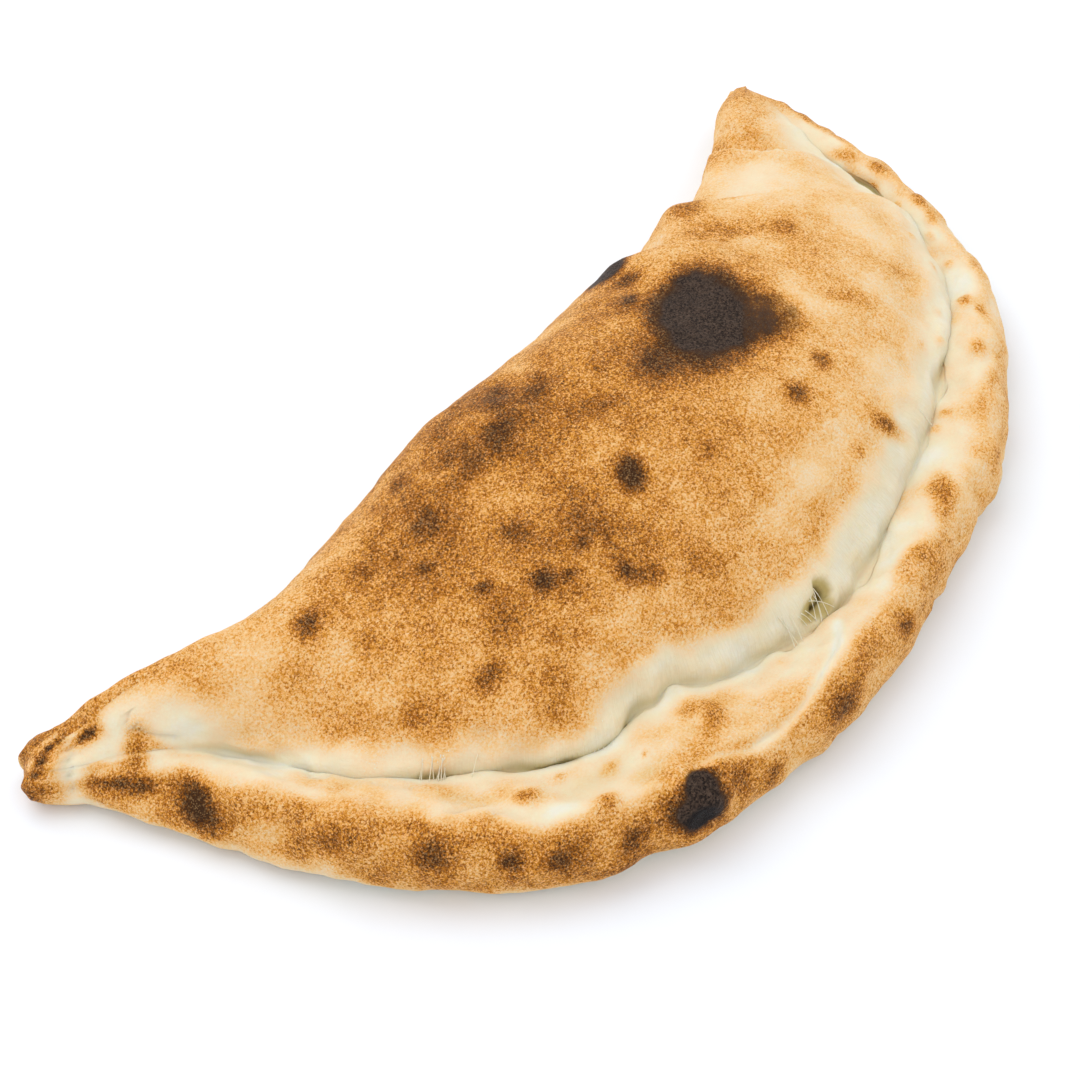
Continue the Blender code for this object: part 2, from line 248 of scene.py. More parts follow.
# Creases on the rim side: half width, depth, step up on the outer side, and points (v, r).
RIM_CREASES = (
    (0.8, 1, 0.9, FOLD_LINE),
    (0.8, 1.3, -0.5, ((0.22, 0.415), (0.226, 0.43), (0.233, 0.447), (0.243, 0.458))),
    (0.7, 0.7, 0.5, ((0.243, 0.435), (0.252, 0.425), (0.266, 0.4))),
    (0.8, 1.2, 0.4, ((0.035, 0.72), (0.039, 0.66), (0.045, 0.625), (0.052, 0.598), (0.06, 0.58))),
    (0.6, 0.9, 0, ((0.032, 0.82), (0.032, 0.755), (0.034, 0.69))),
    (1.2, 1.8, -0.8, NECK_LINE),
    (0.7, 1.6, 0.3, SLIT_LINE),
    (0.6, 1, 0.4, ((0.13, 0.53), (0.137, 0.523), (0.144, 0.53))),
    (0.7, 0.8, 0.5, ((0.17, 0.505), (0.185, 0.495), (0.2, 0.505))),
)

# Terraces over the top at the far end: half width, depth, step up on the tail side, and points.
TOP_CREASES = (
    (0.8, 0.9, -2.2, ((117, -3), (120, -10), (122, -15), (125, -21), (132, -28), (140, -36))),
    (1, 0.8, -1.4, ((80, -17), (84, -21), (89, -25), (98, -31), (106, -39))),
    (1.2, 0.6, -1.2, ((58, -24), (63, -33), (68, -37), (74, -42))),
    (1, 0.6, 0.6, ((130, -1), (129, -12), (133, -22))),
    (0.8, 1, 0.4, ((-140, 6), (-141, 0), (-142, -4))),
)

# Hills on the top: x, y, half length, half width, turn in degrees and height.
TOP_HILLS = (
    (39.5, -58, 15, 11, 38, 0.7), (48, -26, 8, 5, 0, 1.3), (80, -24, 5, 3, 20, 0.9),
    (-92, -30, 18, 12, 0, 0.5), (20, -75, 22, 14, 20, 0.6), (-60, -60, 24, 12, -20, 0.5),
    (-10, -80, 14, 10, 0, -0.5), (60, -70, 14, 10, 40, -0.4), (92, -50, 12, 8, 40, 0.5),
    (-33, -20, 14, 7, 0, 1.5), (-13, -22, 12, 7, 0, 1.2), (8, -24, 10, 7, 0, -0.8),
    (25, -21, 12, 7, 0, -0.9), (62, -22, 6, 10, 0, -2.9), (78, -22, 6, 7, 0, 1.5),
    (-129, -3, 12, 6, -20, 1), (-86, -18, 14, 8, 0, -1.5), (153, 4, 8, 8, 0, -1.6),
)

# Neck of the tail, as a groove right across it: x, half width and height.
TAIL_NECK = (-137, 4, -1.5)

# How square the sides of hills, hollows and spots are: powers of the squared oval distance.
RIM_HILL_POWER = 1.4
TOP_HILL_POWER = 1.2
RIM_AREA_POWER = 2
SPOT_POWER = 1.3
TEAR_SHADE_POWER = 1.6

# Creases: how sharp they are, how far their step reaches in half widths, and the share of the
# line over which each end fades.
CREASE_POWER = 1.3
CREASE_STEP_REACH = 7
CREASE_FADE = 0.15

# A squared oval distance past the reach of any spot, and the rings over which the top begins.
FAR_OFF = 99
TOP_BEGINS_OVER = 0.1

# Strands of dough across the seam: start (v, r), end (v, r) and rise of the middle.
STRANDS = (
    (0.478, 0.564, 0.4745, 0.576, 0.3), (0.4815, 0.565, 0.4775, 0.577, 0.4),
    (0.485, 0.564, 0.4815, 0.577, 0.3), (0.4845, 0.564, 0.489, 0.584, 0.7),
    (0.487, 0.562, 0.4935, 0.586, 0.9), (0.4885, 0.563, 0.4925, 0.582, 1.2),
    (0.498, 0.563, 0.487, 0.582, 0.8), (0.493, 0.562, 0.4945, 0.588, 1),
    (0.229, 0.54, 0.231, 0.575, 0.4), (0.319, 0.552, 0.32, 0.58, 0.5),
    (0.464, 0.552, 0.465, 0.58, 0.5), (0.65, 0.552, 0.652, 0.578, 0.4),
)

# Webs of strands: where along v each starts and ends, and how many strands it has. Each strand
# leans, and starts and rises, by chance.
WEBS = ((0.156, 0.171, 7), (0.192, 0.214, 10), (0.462, 0.47, 2), (0.308, 0.316, 2))
WEB_RINGS = (0.546, 0.578)
WEB_LEAN = 0.0025
WEB_RING_SPREAD = 0.004
WEB_RISE = (0.1, 0.7)
WEB_SEED = 61

# A strand's waist is a share of its radius, and its ends close a share of a span beyond.
STRAND_POINTS = 14
STRAND_SIDES = 8
STRAND_WAIST = 0.5
STRAND_CAP = 0.3

# Waves that add up to a cloudy pattern, and how much their lengths differ.
WAVE_COUNT = 24
WAVE_SPREAD = (0.6, 1.4)

# Lumps all over: size, height on the rim, height on the dome and seed.
LUMPS = (
    (17, 0.55, 0.3, 11), (8, 0.3, 0.13, 12), (4, 0.18, 0.08, 13), (2.4, 0.09, 0.035, 14),
)
LUMPS_SETTLE_AT = 0.7

# ---- Baking ----

# Heat is how far the crust has baked: 0 raw white crumb, 1 dark brown. The fold's foot is paler.
DOME_HEAT = 0.62
RIM_HEAT = 0.60
UNDER_HEAT = 0.25
BASE_HEAT = 0.42
FOLD_BASE_HEAT = 0.34
FOLD_PALE_UP_TO = 0.42
CRUMB_HEAT = 0.10
INNER_HEAT = 0.12

# Cloudy differences: size in millimetres, strength and seed.
DOME_CLOUDS = ((22, 0.035, 31), (10, 0.03, 32))
OUTER_CLOUDS = ((14, 0.05, 33), (6, 0.04, 34))
INNER_CLOUDS = ((9, 0.05, 35), (4, 0.03, 39))
EDGE_CLOUDS = ((12, 0.02, 36),)
BAND_CLOUDS = ((9, 1, 37),)
CRUMB_CLOUDS = ((6, 0.03, 38),)
CHAR_CLOUDS = ((6, 0.1, 41), (2.5, 0.06, 42))
BASE_CLOUDS = ((14, 0.1, 51), (6, 0.05, 52))

# Broad differences over the dome: x, y, half length, half width, turn in degrees and change.
DOME_HEAT_AREAS = (
    (-28, -38, 42, 18, 14, 0.17), (-60, -40, 22, 16, 20, 0.05), (18, -44, 26, 12, 0, 0.02),
    (42, -58, 27, 20, 38, 0.16), (95, -62, 34, 24, -50, -0.17), (50, -92, 40, 22, 20, -0.16),
    (-105, -28, 22, 20, 0, -0.14), (-70, -82, 36, 12, -42, -0.07), (-10, -102, 36, 10, 0, -0.06),
    (112, -28, 18, 16, 0, -0.3), (-75, -25, 34, 12, 14, -0.08), (14, -28, 16, 14, 0, -0.1),
    (82, -30, 18, 14, 30, -0.12), (112, -56, 14, 14, -50, -0.16), (22, -106, 34, 9, 6, -0.12),
    (68, -72, 10, 8, 0, -0.14), (131, -9, 8, 15, 25, -0.12), (-146, 0, 9, 9, 0, 0.26),
    (148, 2, 16, 14, 0, -0.13), (104, -32, 12, 16, -40, -0.1), (60, -30, 10, 12, 0, -0.18),
    (-53, -27, 10, 8, 0, -0.06), (-60, -40, 10, 8, 0, -0.08), (-38, -62, 9, 14, 0, -0.06),
    (-80, -84, 9, 8, 0, -0.1), (90, -84, 12, 9, 0, -0.07), (64, -104, 10, 8, 0, -0.1),
    (4, -78, 16, 12, 0, -0.06), (-38, -51, 9, 8, 0, -0.08), (44, -110, 10, 5, 0, -0.07),
    (84, -98, 8, 6, 0, -0.08), (66, -70, 6, 6, 0, -0.06), (54, -41, 9, 7, 0, -0.12),
    (67, -30, 8, 8, 0, -0.08), (125, -48, 8, 12, 0, -0.1), (100, -78, 9, 8, 0, -0.05),
    (-75, -42, 14, 8, 0, -0.04), (-113, -36, 9, 12, 0, -0.08), (-23, -20, 9, 6, 0, -0.09),
    (-36, -46, 10, 10, 0, -0.09), (66, -21, 14, 7, 0, -0.06), (127, -48, 7, 12, 0, -0.05),
    (82, -101, 8, 6, 0, -0.06), (51, -111, 8, 5, 0, -0.07), (30, -60, 9, 7, 0, 0.04),
    (-34, -22, 16, 7, 14, -0.05), (-38, -20, 6, 5, 0, 0.05), (52, -36, 8, 7, 0, -0.03),
    (-110, -50, 6, 8, 0, -0.08), (-113, -22, 8, 6, 0, -0.06), (52, -111, 7, 4, 0, -0.06),
    (36, -44, 14, 6, 20, -0.06), (68, -72, 6, 7, 0, -0.05), (38, -60, 14, 26, 35, 0.03),
    (7, -61, 6, 6, 0, -0.06), (28, -81, 12, 6, 0, -0.05), (-6, -70, 8, 5, 0, -0.04),
    (118, -24, 10, 12, 0, 0.05), (120, -8, 6, 8, 0, 0.04), (97, -54, 10, 18, 0, 0.06),
    (84, -72, 8, 8, 0, 0.05),
)

# Scorched spots on the top: x, y, half length, half width, turn in degrees and change.
TOP_SPOTS = (
    (-12, -33, 6, 3.6, 20, 0.17), (-6, -41, 6, 3.6, 20, 0.19), (-1, -58, 5, 3.5, 0, 0.1),
    (-23, -42, 6, 3.6, 20, 0.19), (10, -47, 4, 3, 0, 0.08), (-36, -43, 4, 3, 0, 0.1),
    (-45, -29, 4, 3, 20, 0.16), (-54, -43, 4.5, 3, 20, 0.18), (-44, -63, 3.6, 3.6, 0, 0.16),
    (-38, -77, 2.6, 2.2, 0, 0.22), (-65, -42, 3, 2.4, 0, 0.12), (-73, -38, 4, 3, 30, 0.13),
    (-63, -50, 3, 2.4, 0, 0.11), (-60, -65, 2.4, 2, 0, 0.22), (-51, -76, 3.2, 2.8, 0, 0.28),
    (-46, -80, 2.4, 2, 0, 0.22), (-90, -35, 4, 3.2, 20, 0.3), (-65, -73, 4, 4, 0, 0.13),
    (-59, -84, 4, 4, 0, 0.1), (-85, -50, 3, 2.4, 0, 0.08), (-75, -78, 4, 3.2, 0, 0.26),
    (-92, -68, 3, 2.4, 0, 0.11), (-14, -75, 4.8, 4, 60, 0.6), (5, -85, 3, 3, 0, 0.1),
    (-36, -90, 2.6, 3.2, 0, 0.27), (-32, -94, 3.4, 3, 0, 0.26), (-5, -107, 3, 2.4, 0, 0.1),
    (37, -89, 5, 3, 20, 0.14), (50, -88, 3.4, 2.6, 0, 0.12), (37, -108, 2, 2, 0, 0.16),
    (52, -87, 3.2, 2.8, 0, 0.24), (38, -90, 3.6, 3, 20, 0.24), (89, -51, 4, 3, 0, 0.22),
    (76, -77, 9, 3, -52, 0.12), (100, -80, 2.4, 2, 0, 0.12), (44, -33, 4, 3, 0, 0.26),
    (36, -39, 3, 2.6, 0, 0.26), (17, -59, 7, 5, 30, 0.14), (19, -61, 6, 5, 30, 0.2),
    (82, -26, 7, 3, 20, 0.2), (145, -5, 9, 9, 0, 0.09), (136, -8, 6, 7, 0, 0.06),
    (98, -32, 8, 2.2, -30, 0.14), (78, -40, 12, 2.6, -48, 0.1), (70, -34, 12, 5, -30, 0.08),
)

# Charred places on the top: x, y, half length, half width, turn in degrees and strength.
TOP_CHARS = (
    (41.5, -58, 15.5, 10.5, 35, 1), (49.5, -64, 10.5, 9.5, -50, 0.55),
    (55, -69, 8, 7.5, -50, 0.34), (47, -24.5, 7, 3.6, 0, 0.85),
)

# Scorched spots on the rim: place v, ring r, half length, half width and change.
RIM_SPOTS = (
    (0.081, 0.285, 5, 4.6, 0.32), (0.084, 0.29, 9, 8, 0.14), (0.041, 0.555, 3.4, 4, 0.5),
    (0.047, 0.375, 5, 4, 0.4), (0.009, 0.14, 3, 3, 0.3), (0.018, 0.82, 4.5, 2.6, 0.3),
    (0.051, 0.566, 4.5, 1.5, 0.26), (0.038, 0.68, 4.2, 3.6, 0.36), (0.0138, 0.865, 4.2, 3.6, 0.5),
    (0.165, 0.275, 9, 5, 0.18), (0.212, 0.27, 4.5, 3.5, 0.28), (0.254, 0.255, 3, 3, 0.31),
    (0.277, 0.228, 3.4, 3, 0.28), (0.319, 0.223, 4.5, 3, 0.2), (0.407, 0.203, 4.5, 3.5, 0.23),
    (0.456, 0.238, 7, 5, 0.25), (0.509, 0.258, 3, 3.5, 0.23), (0.39, 0.462, 4.6, 3.6, 0.34),
    (0.38, 0.49, 4.5, 3, 0.24), (0.596, 0.42, 6, 3.4, 0.44), (0.582, 0.375, 4, 3.4, 0.3),
    (0.622, 0.6, 4.2, 5.5, 0.55), (0.264, 0.46, 3.4, 2.4, 0.3), (0.319, 0.48, 3.6, 2.4, 0.3),
    (0.31, 0.4, 3.4, 2.2, 0.28), (0.285, 0.505, 2, 1.6, 0.23), (0.342, 0.463, 1.2, 0.9, 0.3),
    (0.349, 0.385, 2.2, 1.8, 0.2), (0.924, 0.48, 4, 2.2, 0.28), (0.904, 0.395, 3.4, 2, 0.28),
    (0.895, 0.54, 2.6, 1.6, 0.41), (0.875, 0.44, 3, 1.6, 0.22), (0.861, 0.405, 3.4, 1.9, 0.36),
    (0.842, 0.45, 3, 1.8, 0.24), (0.808, 0.43, 4, 2, 0.14), (0.912, 0.52, 3, 1.6, 0.16),
    (0.868, 0.525, 1.8, 1.2, 0.25), (0.832, 0.508, 2.2, 1.4, 0.26), (0.827, 0.598, 1.8, 1.4, 0.2),
    (0.796, 0.58, 2, 1.4, 0.25), (0.803, 0.497, 2.2, 1.4, 0.25), (0.762, 0.463, 2.8, 2.2, 0.38),
    (0.751, 0.39, 2.4, 1.6, 0.23), (0.715, 0.413, 3, 2, 0.23), (0.749, 0.58, 1.8, 1.4, 0.21),
    (0.721, 0.575, 2, 1.4, 0.18), (0.713, 0.595, 1.8, 1.4, 0.16), (0.646, 0.535, 2, 1.6, 0.25),
    (0.66, 0.515, 2, 1.6, 0.21),
)

# Stripes along folds of the rim, pale or browned: half width, change and points (v, r).
# The darker stripe along the tail's slit is painted shade down in the slit.
RIM_STRIPES = (
    (1.5, -0.26, FOLD_LINE), (3, -0.36, NECK_LINE), (0.9, 0.36, SLIT_LINE),
    (2.5, -0.2, ((0.215, 0.42), (0.243, 0.44), (0.266, 0.41), (0.29, 0.42))),
)

# The same on the top, along its terraces, with points (x, y).
# The pale stripe along the terrace nearest the far tip is partly paler dough and partly painted
# highlight on its ridge.
TOP_STRIPES = (
    (1, -0.32, ((-141, 2), (-144.7, 3), (-148.6, 3.1))),
    (1.5, -0.26, ((117, -3), (119, -9), (122, -15), (125, -21), (132, -28), (140, -36))),
    (1.1, 0.12, ((82, -20), (84, -21), (89, -25), (98, -31))),
    (1.1, 0.14, ((62, -32), (68, -37), (74, -42))),
)

# Glossy and charred places on the rim: place v, ring r, half length, half width and strength.
RIM_GLOSS = ((0.3565, 0.205, 4.4, 3, 1), (0.762, 0.463, 2.4, 2, 0.7))
RIM_CHARS = ((0.3565, 0.232, 6, 4.4, 1), (0.36, 0.292, 4.2, 4.2, 1))

# Browning of the rim's outer side along v.
RIM_HEAT_BUMPS = (
    (0.17, 0.03, 0.03), (0.12, 0.06, -0.05), (0.25, 0.04, 0.1), (0.36, 0.04, 0.05),
    (0.16, 0.03, -0.13), (0.43, 0.04, -0.1), (0.52, 0.04, -0.04), (0.64, 0.045, -0.16),
    (0.74, 0.05, -0.08), (0.81, 0.055, -0.26), (0.92, 0.04, -0.1), (0.66, 0.03, -0.04),
)

# Changes along v of the paler inner side, of the underside and of the ring where browning ends.
# The underside is pale up to one ring, and browning ends across another.
INNER_HEAT_STEPS = ((0.56, 0.44, 0.06), (0.11, 0.17, 0.12), (0.3, 0.36, -0.06), (0.05, 0, 0.05))
# The first bump darkens the underside near the tail, as painted shade.
UNDER_HEAT_BUMPS = (
    (0.08, 0.06, 0.06), (0.27, 0.04, -0.07), (0.19, 0.03, -0.16), (0.36, 0.05, -0.15),
    (0.45, 0.02, 0.06),
)
UNDER_PALE_UP_TO = 0.145
UNDER_PALE_EASE = 0.10
UNDER_PALE_STEPS = ((0.2, 0.13, 0.05),)
RIM_EDGE = 0.43
RIM_EDGE_EASE = (-0.07, 0.05)
RIM_EDGE_BUMPS = (
    (0.29, 0.05, -0.065), (0.23, 0.015, -0.03), (0.345, 0.02, -0.05), (0.4, 0.03, -0.05),
    (0.46, 0.02, -0.05), (0.54, 0.03, -0.05), (0.6, 0.03, -0.05), (0.72, 0.05, -0.08),
    (0.8, 0.03, -0.03),
)

# The rim pales just below the seam, up to a place along it.
LIP_PALING = 0.16
LIP_RINGS = (0.515, 0.545)
LIP_PLACES = (0.5, 0.42)

# Broad changes on the rim: place v, ring r, half length, half width and change.
RIM_HEAT_AREAS = (
    (0.39, 0.458, 19, 7, 0.07), (0.345, 0.36, 8, 4.5, 0.04), (0.42, 0.4, 8, 5, 0.06),
    (0.66, 0.42, 60, 5, 0.05), (0.37, 0.415, 70, 3.4, 0.06), (0.6, 0.33, 16, 7, -0.09),
    (0.53, 0.44, 16, 6, -0.04), (0.7, 0.34, 14, 6, -0.05), (0.022, 0.6, 3, 5, 0.16),
    (0.8, 0.5, 20, 6, -0.05), (0.315, 0.46, 14, 5, -0.1), (0.031, 0.46, 5, 6, 0.2),
    (0.045, 0.25, 8, 4, -0.16), (0.088, 0.42, 10, 4, -0.06), (0.145, 0.485, 14, 2.6, 0.09),
    (0.22, 0.33, 10, 5, -0.08),
)

# Browning round a charred place, and the edges of halo, char and gloss: the squared oval
# distances where each begins and where it is full.
CHAR_HALO = 0.30
CHAR_HALO_EDGE = (2.6, 0.8)
CHAR_EDGE = (1.6, 0.4)
GLOSS_EDGE = (1.4, 0.7)

# Torn white band above the seam, in millimetres up the dome: its width, how far its edge
# wavers, and how softly it ends.
BAND_WIDTH = 15.6
BAND_STEPS = ((0.02, 0.09, -8.6), (0.22, 0.34, 3.6), (0.42, 0.48, 3), (0.6, 0.7, -2))
BAND_WAVER = 0.7
BAND_WAVER_STEPS = ((0.2, 0.1, 1.2),)
BAND_BLUR = 4.5
BAND_BLUR_STEPS = ((0.34, 0.24, 4), (0.6, 0.72, 4.5))
SEAM_EASE = 0.3

# Where along v the rim's own colours hold, and where the torn band shows fibres.
RIM_COLOUR_SPANS = ((0, 0.03), (0.95, 1))
FIBRE_SPANS = ((0.17, 0.28), (0.62, 0.75))


def screen(red, green, blue):
    """Linear colour of a screen colour whose parts run from 0 to 255."""
    values = np.array([red, green, blue]) / 255
    linear = np.where(values <= 0.04045, values / 12.92, ((values + 0.055) / 1.055) ** 2.4)
    return tuple(float(part) for part in linear)


def smooth(start, end, x):
    """Ease from 0 at start to 1 at end."""
    t = np.clip((x - start) / (end - start), 0, 1)
    return t * t * (3 - 2 * t)


def hill(x, centre, width):
    """A bell of height 1 at the centre."""
    return np.exp(-((x - centre) / width) ** 2)


def swelling(x, table):
    """Sum of the bumps of a table, in the table's own units."""
    return sum(height * hill(x, place, width) for place, width, height in table)


def level(x, table):
    """Sum of the steps of a table, in the table's own units."""
    return sum(rise * smooth(start, end, x) for start, end, rise in table)


def bumps(x, table):
    """Sum of the bumps of a table of millimetres, in metres."""
    return MM * swelling(x, table)


def steps(x, table):
    """Sum of the steps of a table of millimetres, in metres."""
    return MM * level(x, table)


def ramp(x, softness):
    """0 below x = 0, and x above it, with a soft corner."""
    return softness * np.logaddexp(0, x / softness)


def limited(value, limit):
    """The value where it is well under the limit, bending so that it never passes it."""
    return (value ** -LIMIT_SHARPNESS + limit ** -LIMIT_SHARPNESS) ** (-1 / LIMIT_SHARPNESS)


def unit(x, y):
    """The direction (x, y) with length 1."""
    length = np.hypot(x, y)
    return x / length, y / length


def turned(start, end, share):
    """The direction between two directions, share of the way from start to end."""
    return unit(start[0] + (end[0] - start[0]) * share, start[1] + (end[1] - start[1]) * share)


def between(spans, v):
    """1 between two spans, easing to 0 across each of them."""
    (tail_start, tail_end), (tip_start, tip_end) = spans
    return smooth(tail_start, tail_end, v) * smooth(tip_end, tip_start, v)


def rim_outline(v):
    """Widest line of the rim: a superellipse with its own swellings, and cornered ends."""
    scale = 1 + (bumps(v, OUTLINE_BUMPS) + steps(v, OUTLINE_STEPS)) / HALF_LENGTH
    along, across = np.cos(np.pi * v), np.sin(np.pi * v)
    power = 2 / PLAN_POWER
    x = PLAN_CENTRE[0] - HALF_LENGTH * scale * np.sign(along) * np.abs(along) ** power
    y = PLAN_CENTRE[1] - RIM_REACH * scale * np.abs(across) ** power
    tail_corner = smooth(TAIL_CORNER[0], 0, v)
    tip_corner = smooth(TIP_CORNER[0], 1, v)
    x += MM * (TAIL_CORNER[1] * tail_corner + TIP_CORNER[1] * tip_corner)
    y += MM * (TAIL_CORNER[2] * tail_corner + TIP_CORNER[2] * tip_corner)
    return x + bumps(v, (TAIL_HEEL,)), y


def crest_line(v):
    """Top of the dome: a bow in plan, high in the middle and low towards both ends."""
    q = 2 * v - 1
    s = (1 - CREST_END_SHARE) * q + CREST_END_SHARE * q ** 3
    x = CREST_CENTRE_X + CREST_HALF_LENGTH * s
    y = CREST_Y + CREST_BOW * np.abs(s) ** CREST_BOW_POWER
    z = DOME_HEIGHT + bumps(x / MM, CREST_BUMPS) + steps(x / MM, CREST_STEPS)
    return x, y, z - TAIL_SLOPE * ramp(TAIL_SLOPE_START - x, TAIL_SLOPE_SOFTNESS)


def fold_outline(v):
    """Widest line of the fold: nearly straight, with a horn at each tip and a flared tail."""
    x = crest_line(v)[0] + FOLD_OVERHANG * (2 * v - 1) ** 5
    tail_horn = ramp(HORN_STARTS[0] - x, HORN_SOFTNESS)
    tip_horn = ramp(x - HORN_STARTS[1], HORN_SOFTNESS)
    y = FOLD_LINE_Y + HORN_SLOPE * (tail_horn + tip_horn) + bumps(x / MM, FOLD_BUMPS)
    return x, y


def columns(start, end, side, v):
    """Hermite curves in plan from start to end, square to both lines away from the tips.

    Returns a function of the share of the way along, and the straight distance.
    """
    reach = np.hypot(end[0] - start[0], end[1] - start[1])
    chord = unit(end[0] - start[0], end[1] - start[1])
    squared = between(((0, FAN_SPAN), (1 - FAN_SPAN, 1)), v)
    ways = []
    for line in (start, end):
        way = unit(np.gradient(line[0], axis=1), np.gradient(line[1], axis=1))
        ways.append(turned(chord, (-side * way[1], side * way[0]), squared))
    leave, arrive = ways

    def at(f):
        leave_part = f * (1 - f) ** 2 * reach
        arrive_part = f * f * (f - 1) * reach
        end_part = f * f * (3 - 2 * f)
        return [
            start[i] + (end[i] - start[i]) * end_part
            + leave[i] * leave_part + arrive[i] * arrive_part
            for i in (0, 1)
        ]

    return at, reach


def rim_profile(v, r, reach, crest):
    """Way in from the outline, and height, on the rim side.

    Quarter ellipses run under and over the waist, then the rim falls to the seam, and a
    superellipse dome rises from its foot to the crest.
    """
    under = np.clip(r / UNDER_END, 0, 1) * np.pi / 2
    outer = np.clip((r - UNDER_END) / (OUTER_END - UNDER_END), 0, 1) * np.pi / 2
    inner = np.clip((r - OUTER_END) / (SEAM_AT - OUTER_END), 0, 1)
    dome = np.clip((r - SEAM_AT) / (1 - SEAM_AT), 0, 1)

    width = RIM_WIDTH + bumps(v, RIM_WIDTH_BUMPS) + steps(v, RIM_WIDTH_STEPS)
    opening = bumps(v, CRACK_BUMPS)
    girth = (v * RIM_LENGTH)[..., np.newaxis]
    width += CRACK_WANDER * opening * waves(girth, CRACK_WANDER_SIZE, CRACK_WANDER_SEED)
    width = limited(width, WIDTH_LIMIT * reach)
    rounding = limited(RIM_ROUND, RIM_ROUND_LIMIT * width)
    way_in = (
        limited(RIM_BASE_INSET, INSET_LIMIT * reach) * (1 - np.sin(under))
        + rounding * (1 - np.cos(outer)) + (width - rounding) * inner + (reach - width) * dome
    )
    even_foot = limited(RIM_WIDTH + steps(v, DOME_FOOT_STEPS), WIDTH_LIMIT * reach)
    foot = width + (even_foot - width) * smooth(0, FOOT_EASE, dome)
    rise = np.clip((way_in - foot) / (reach - foot), 0, 1) * (dome > 0)

    waist = RIM_WAIST + steps(v, RIM_WAIST_STEPS)
    top = RIM_HEIGHT + bumps(v, RIM_HEIGHT_BUMPS) + steps(v, RIM_HEIGHT_STEPS)
    seam = SEAM_HEIGHT + steps(v, SEAM_HEIGHT_STEPS) + bumps(v, SEAM_LIFT_BUMPS)
    lip = bumps(v, LIP_BUMPS)
    groove = bumps(v, SEAM_DEPTH_BUMPS) * hill(r, SEAM_AT, SEAM_HALF_WIDTH)
    groove = groove + opening * CRACK_DEPTH_SHARE * hill(r, SEAM_AT, CRACK_HALF_WIDTH)
    way_in = way_in - opening * hill(r, OVERHANG_AT, OVERHANG_HALF_WIDTH)
    way_in = way_in - bumps(v, OUTLINE_DENTS) * smooth(*DENTS_FADE_OVER, r)
    height = (
        waist * (1 - np.cos(under)) + (top - waist) * np.sin(outer)
        - (top - seam - lip) * inner ** SEAM_FALL_POWER - lip * smooth(0, FOOT_EASE, dome)
        + (crest - seam) * (1 - (1 - rise) ** DOME_POWER) ** DOME_FULLNESS - groove
    )
    return way_in, height


def fold_profile(v, r, reach, crest):
    """Way in and height on the fold side: one superellipse from the waist to the crest."""
    under = np.clip(r / UNDER_END, 0, 1) * np.pi / 2
    over = np.clip((r - UNDER_END) / (1 - UNDER_END), 0, 1) * np.pi / 2
    waist = FOLD_WAIST + steps(v, FOLD_WAIST_STEPS)
    power = 2 / FOLD_POWER
    inset = limited(FOLD_BASE_INSET, INSET_LIMIT * reach)
    way_in = inset * (1 - np.sin(under)) + reach * (1 - np.cos(over) ** power)
    height = waist * (1 - np.cos(under)) + (crest - waist) * np.sin(over) ** power
    return way_in, height


def side_points(v, r, on_rim):
    """Points of one side of the pie, for columns v and rings r between 0 (base) and 1 (crest).

    Near the tips the rim's profile blends into the fold's, so that both sides meet.
    """
    start = rim_outline(v) if on_rim else fold_outline(v)
    *end, crest = crest_line(v)
    at, reach = columns(start, end, 1 if on_rim else -1, v)
    way_in, z = fold_profile(v, r, reach, crest)
    if on_rim:
        rim_share = between(((0, RIM_FADE), (1 - RIM_FADE, 1)), v)
        rim_in, rim_z = rim_profile(v, r, reach, crest)
        way_in = way_in + rim_share * (rim_in - way_in)
        z = z + rim_share * (rim_z - z)
    x, y = at(way_in / reach)
    thinning = TAIL_THINNING * smooth(*TAIL_THIN_SPAN, x) + TIP_THINNING * smooth(*TIP_THIN_SPAN, x)
    return np.stack([x, y, z * (1 - thinning)], axis=-1)


def both_sides(rim, fold):
    """Values of the rim side from tail to tip, then of the fold side back to the tail."""
    return np.concatenate([rim, fold[:, -2:0:-1]], axis=1)


def column_places():
    """Values of v from tail to far tip, a little closer together towards both ends."""
    t = np.linspace(0, 1, COLUMNS + 1)
    return t - END_CROWDING * np.sin(2 * np.pi * t)


def ring_stages():
    """Ring values from the base to the crest, with many close rings across the seam."""
    dome = np.linspace(0, 1, DOME_RINGS)
    return np.concatenate([
        np.linspace(0, UNDER_END, UNDER_RINGS, endpoint=False),
        np.linspace(UNDER_END, OUTER_END, OUTER_RINGS, endpoint=False),
        np.linspace(OUTER_END, CRACK_START, INNER_RINGS, endpoint=False),
        np.linspace(CRACK_START, CRACK_END, CRACK_RINGS, endpoint=False),
        CRACK_END + (1 - CRACK_END) * (dome + DOME_CROWDING * (dome ** 2 - dome)),
    ])


def waves(points, size, seed):
    """Smooth lumps about one size across, of mean square 1: a sum of seeded plane waves."""
    draw = np.random.default_rng(seed)
    ways = draw.normal(size=(WAVE_COUNT, points.shape[-1]))
    ways /= np.linalg.norm(ways, axis=1, keepdims=True)
    ways *= np.pi / size * draw.uniform(*WAVE_SPREAD, (WAVE_COUNT, 1))
    phases = draw.uniform(0, 2 * np.pi, WAVE_COUNT)
    total = np.zeros(points.shape[:-1])
    for way, phase in zip(ways, phases):
        total += np.cos(points @ way + phase)
    return total / math.sqrt(WAVE_COUNT / 2)


def clouds(points, table):
    """Sum of waves over the sizes, strengths and seeds of a table."""
    return sum(strength * waves(points, size, seed) for size, strength, seed in table)


def oval(along, across, half_length, half_width, turn):
    """Squared distance from an oval's centre, 1 on its edge."""
    angle = math.radians(turn)
    first = along * math.cos(angle) + across * math.sin(angle)
    second = across * math.cos(angle) - along * math.sin(angle)
    return (first / half_length) ** 2 + (second / half_width) ** 2


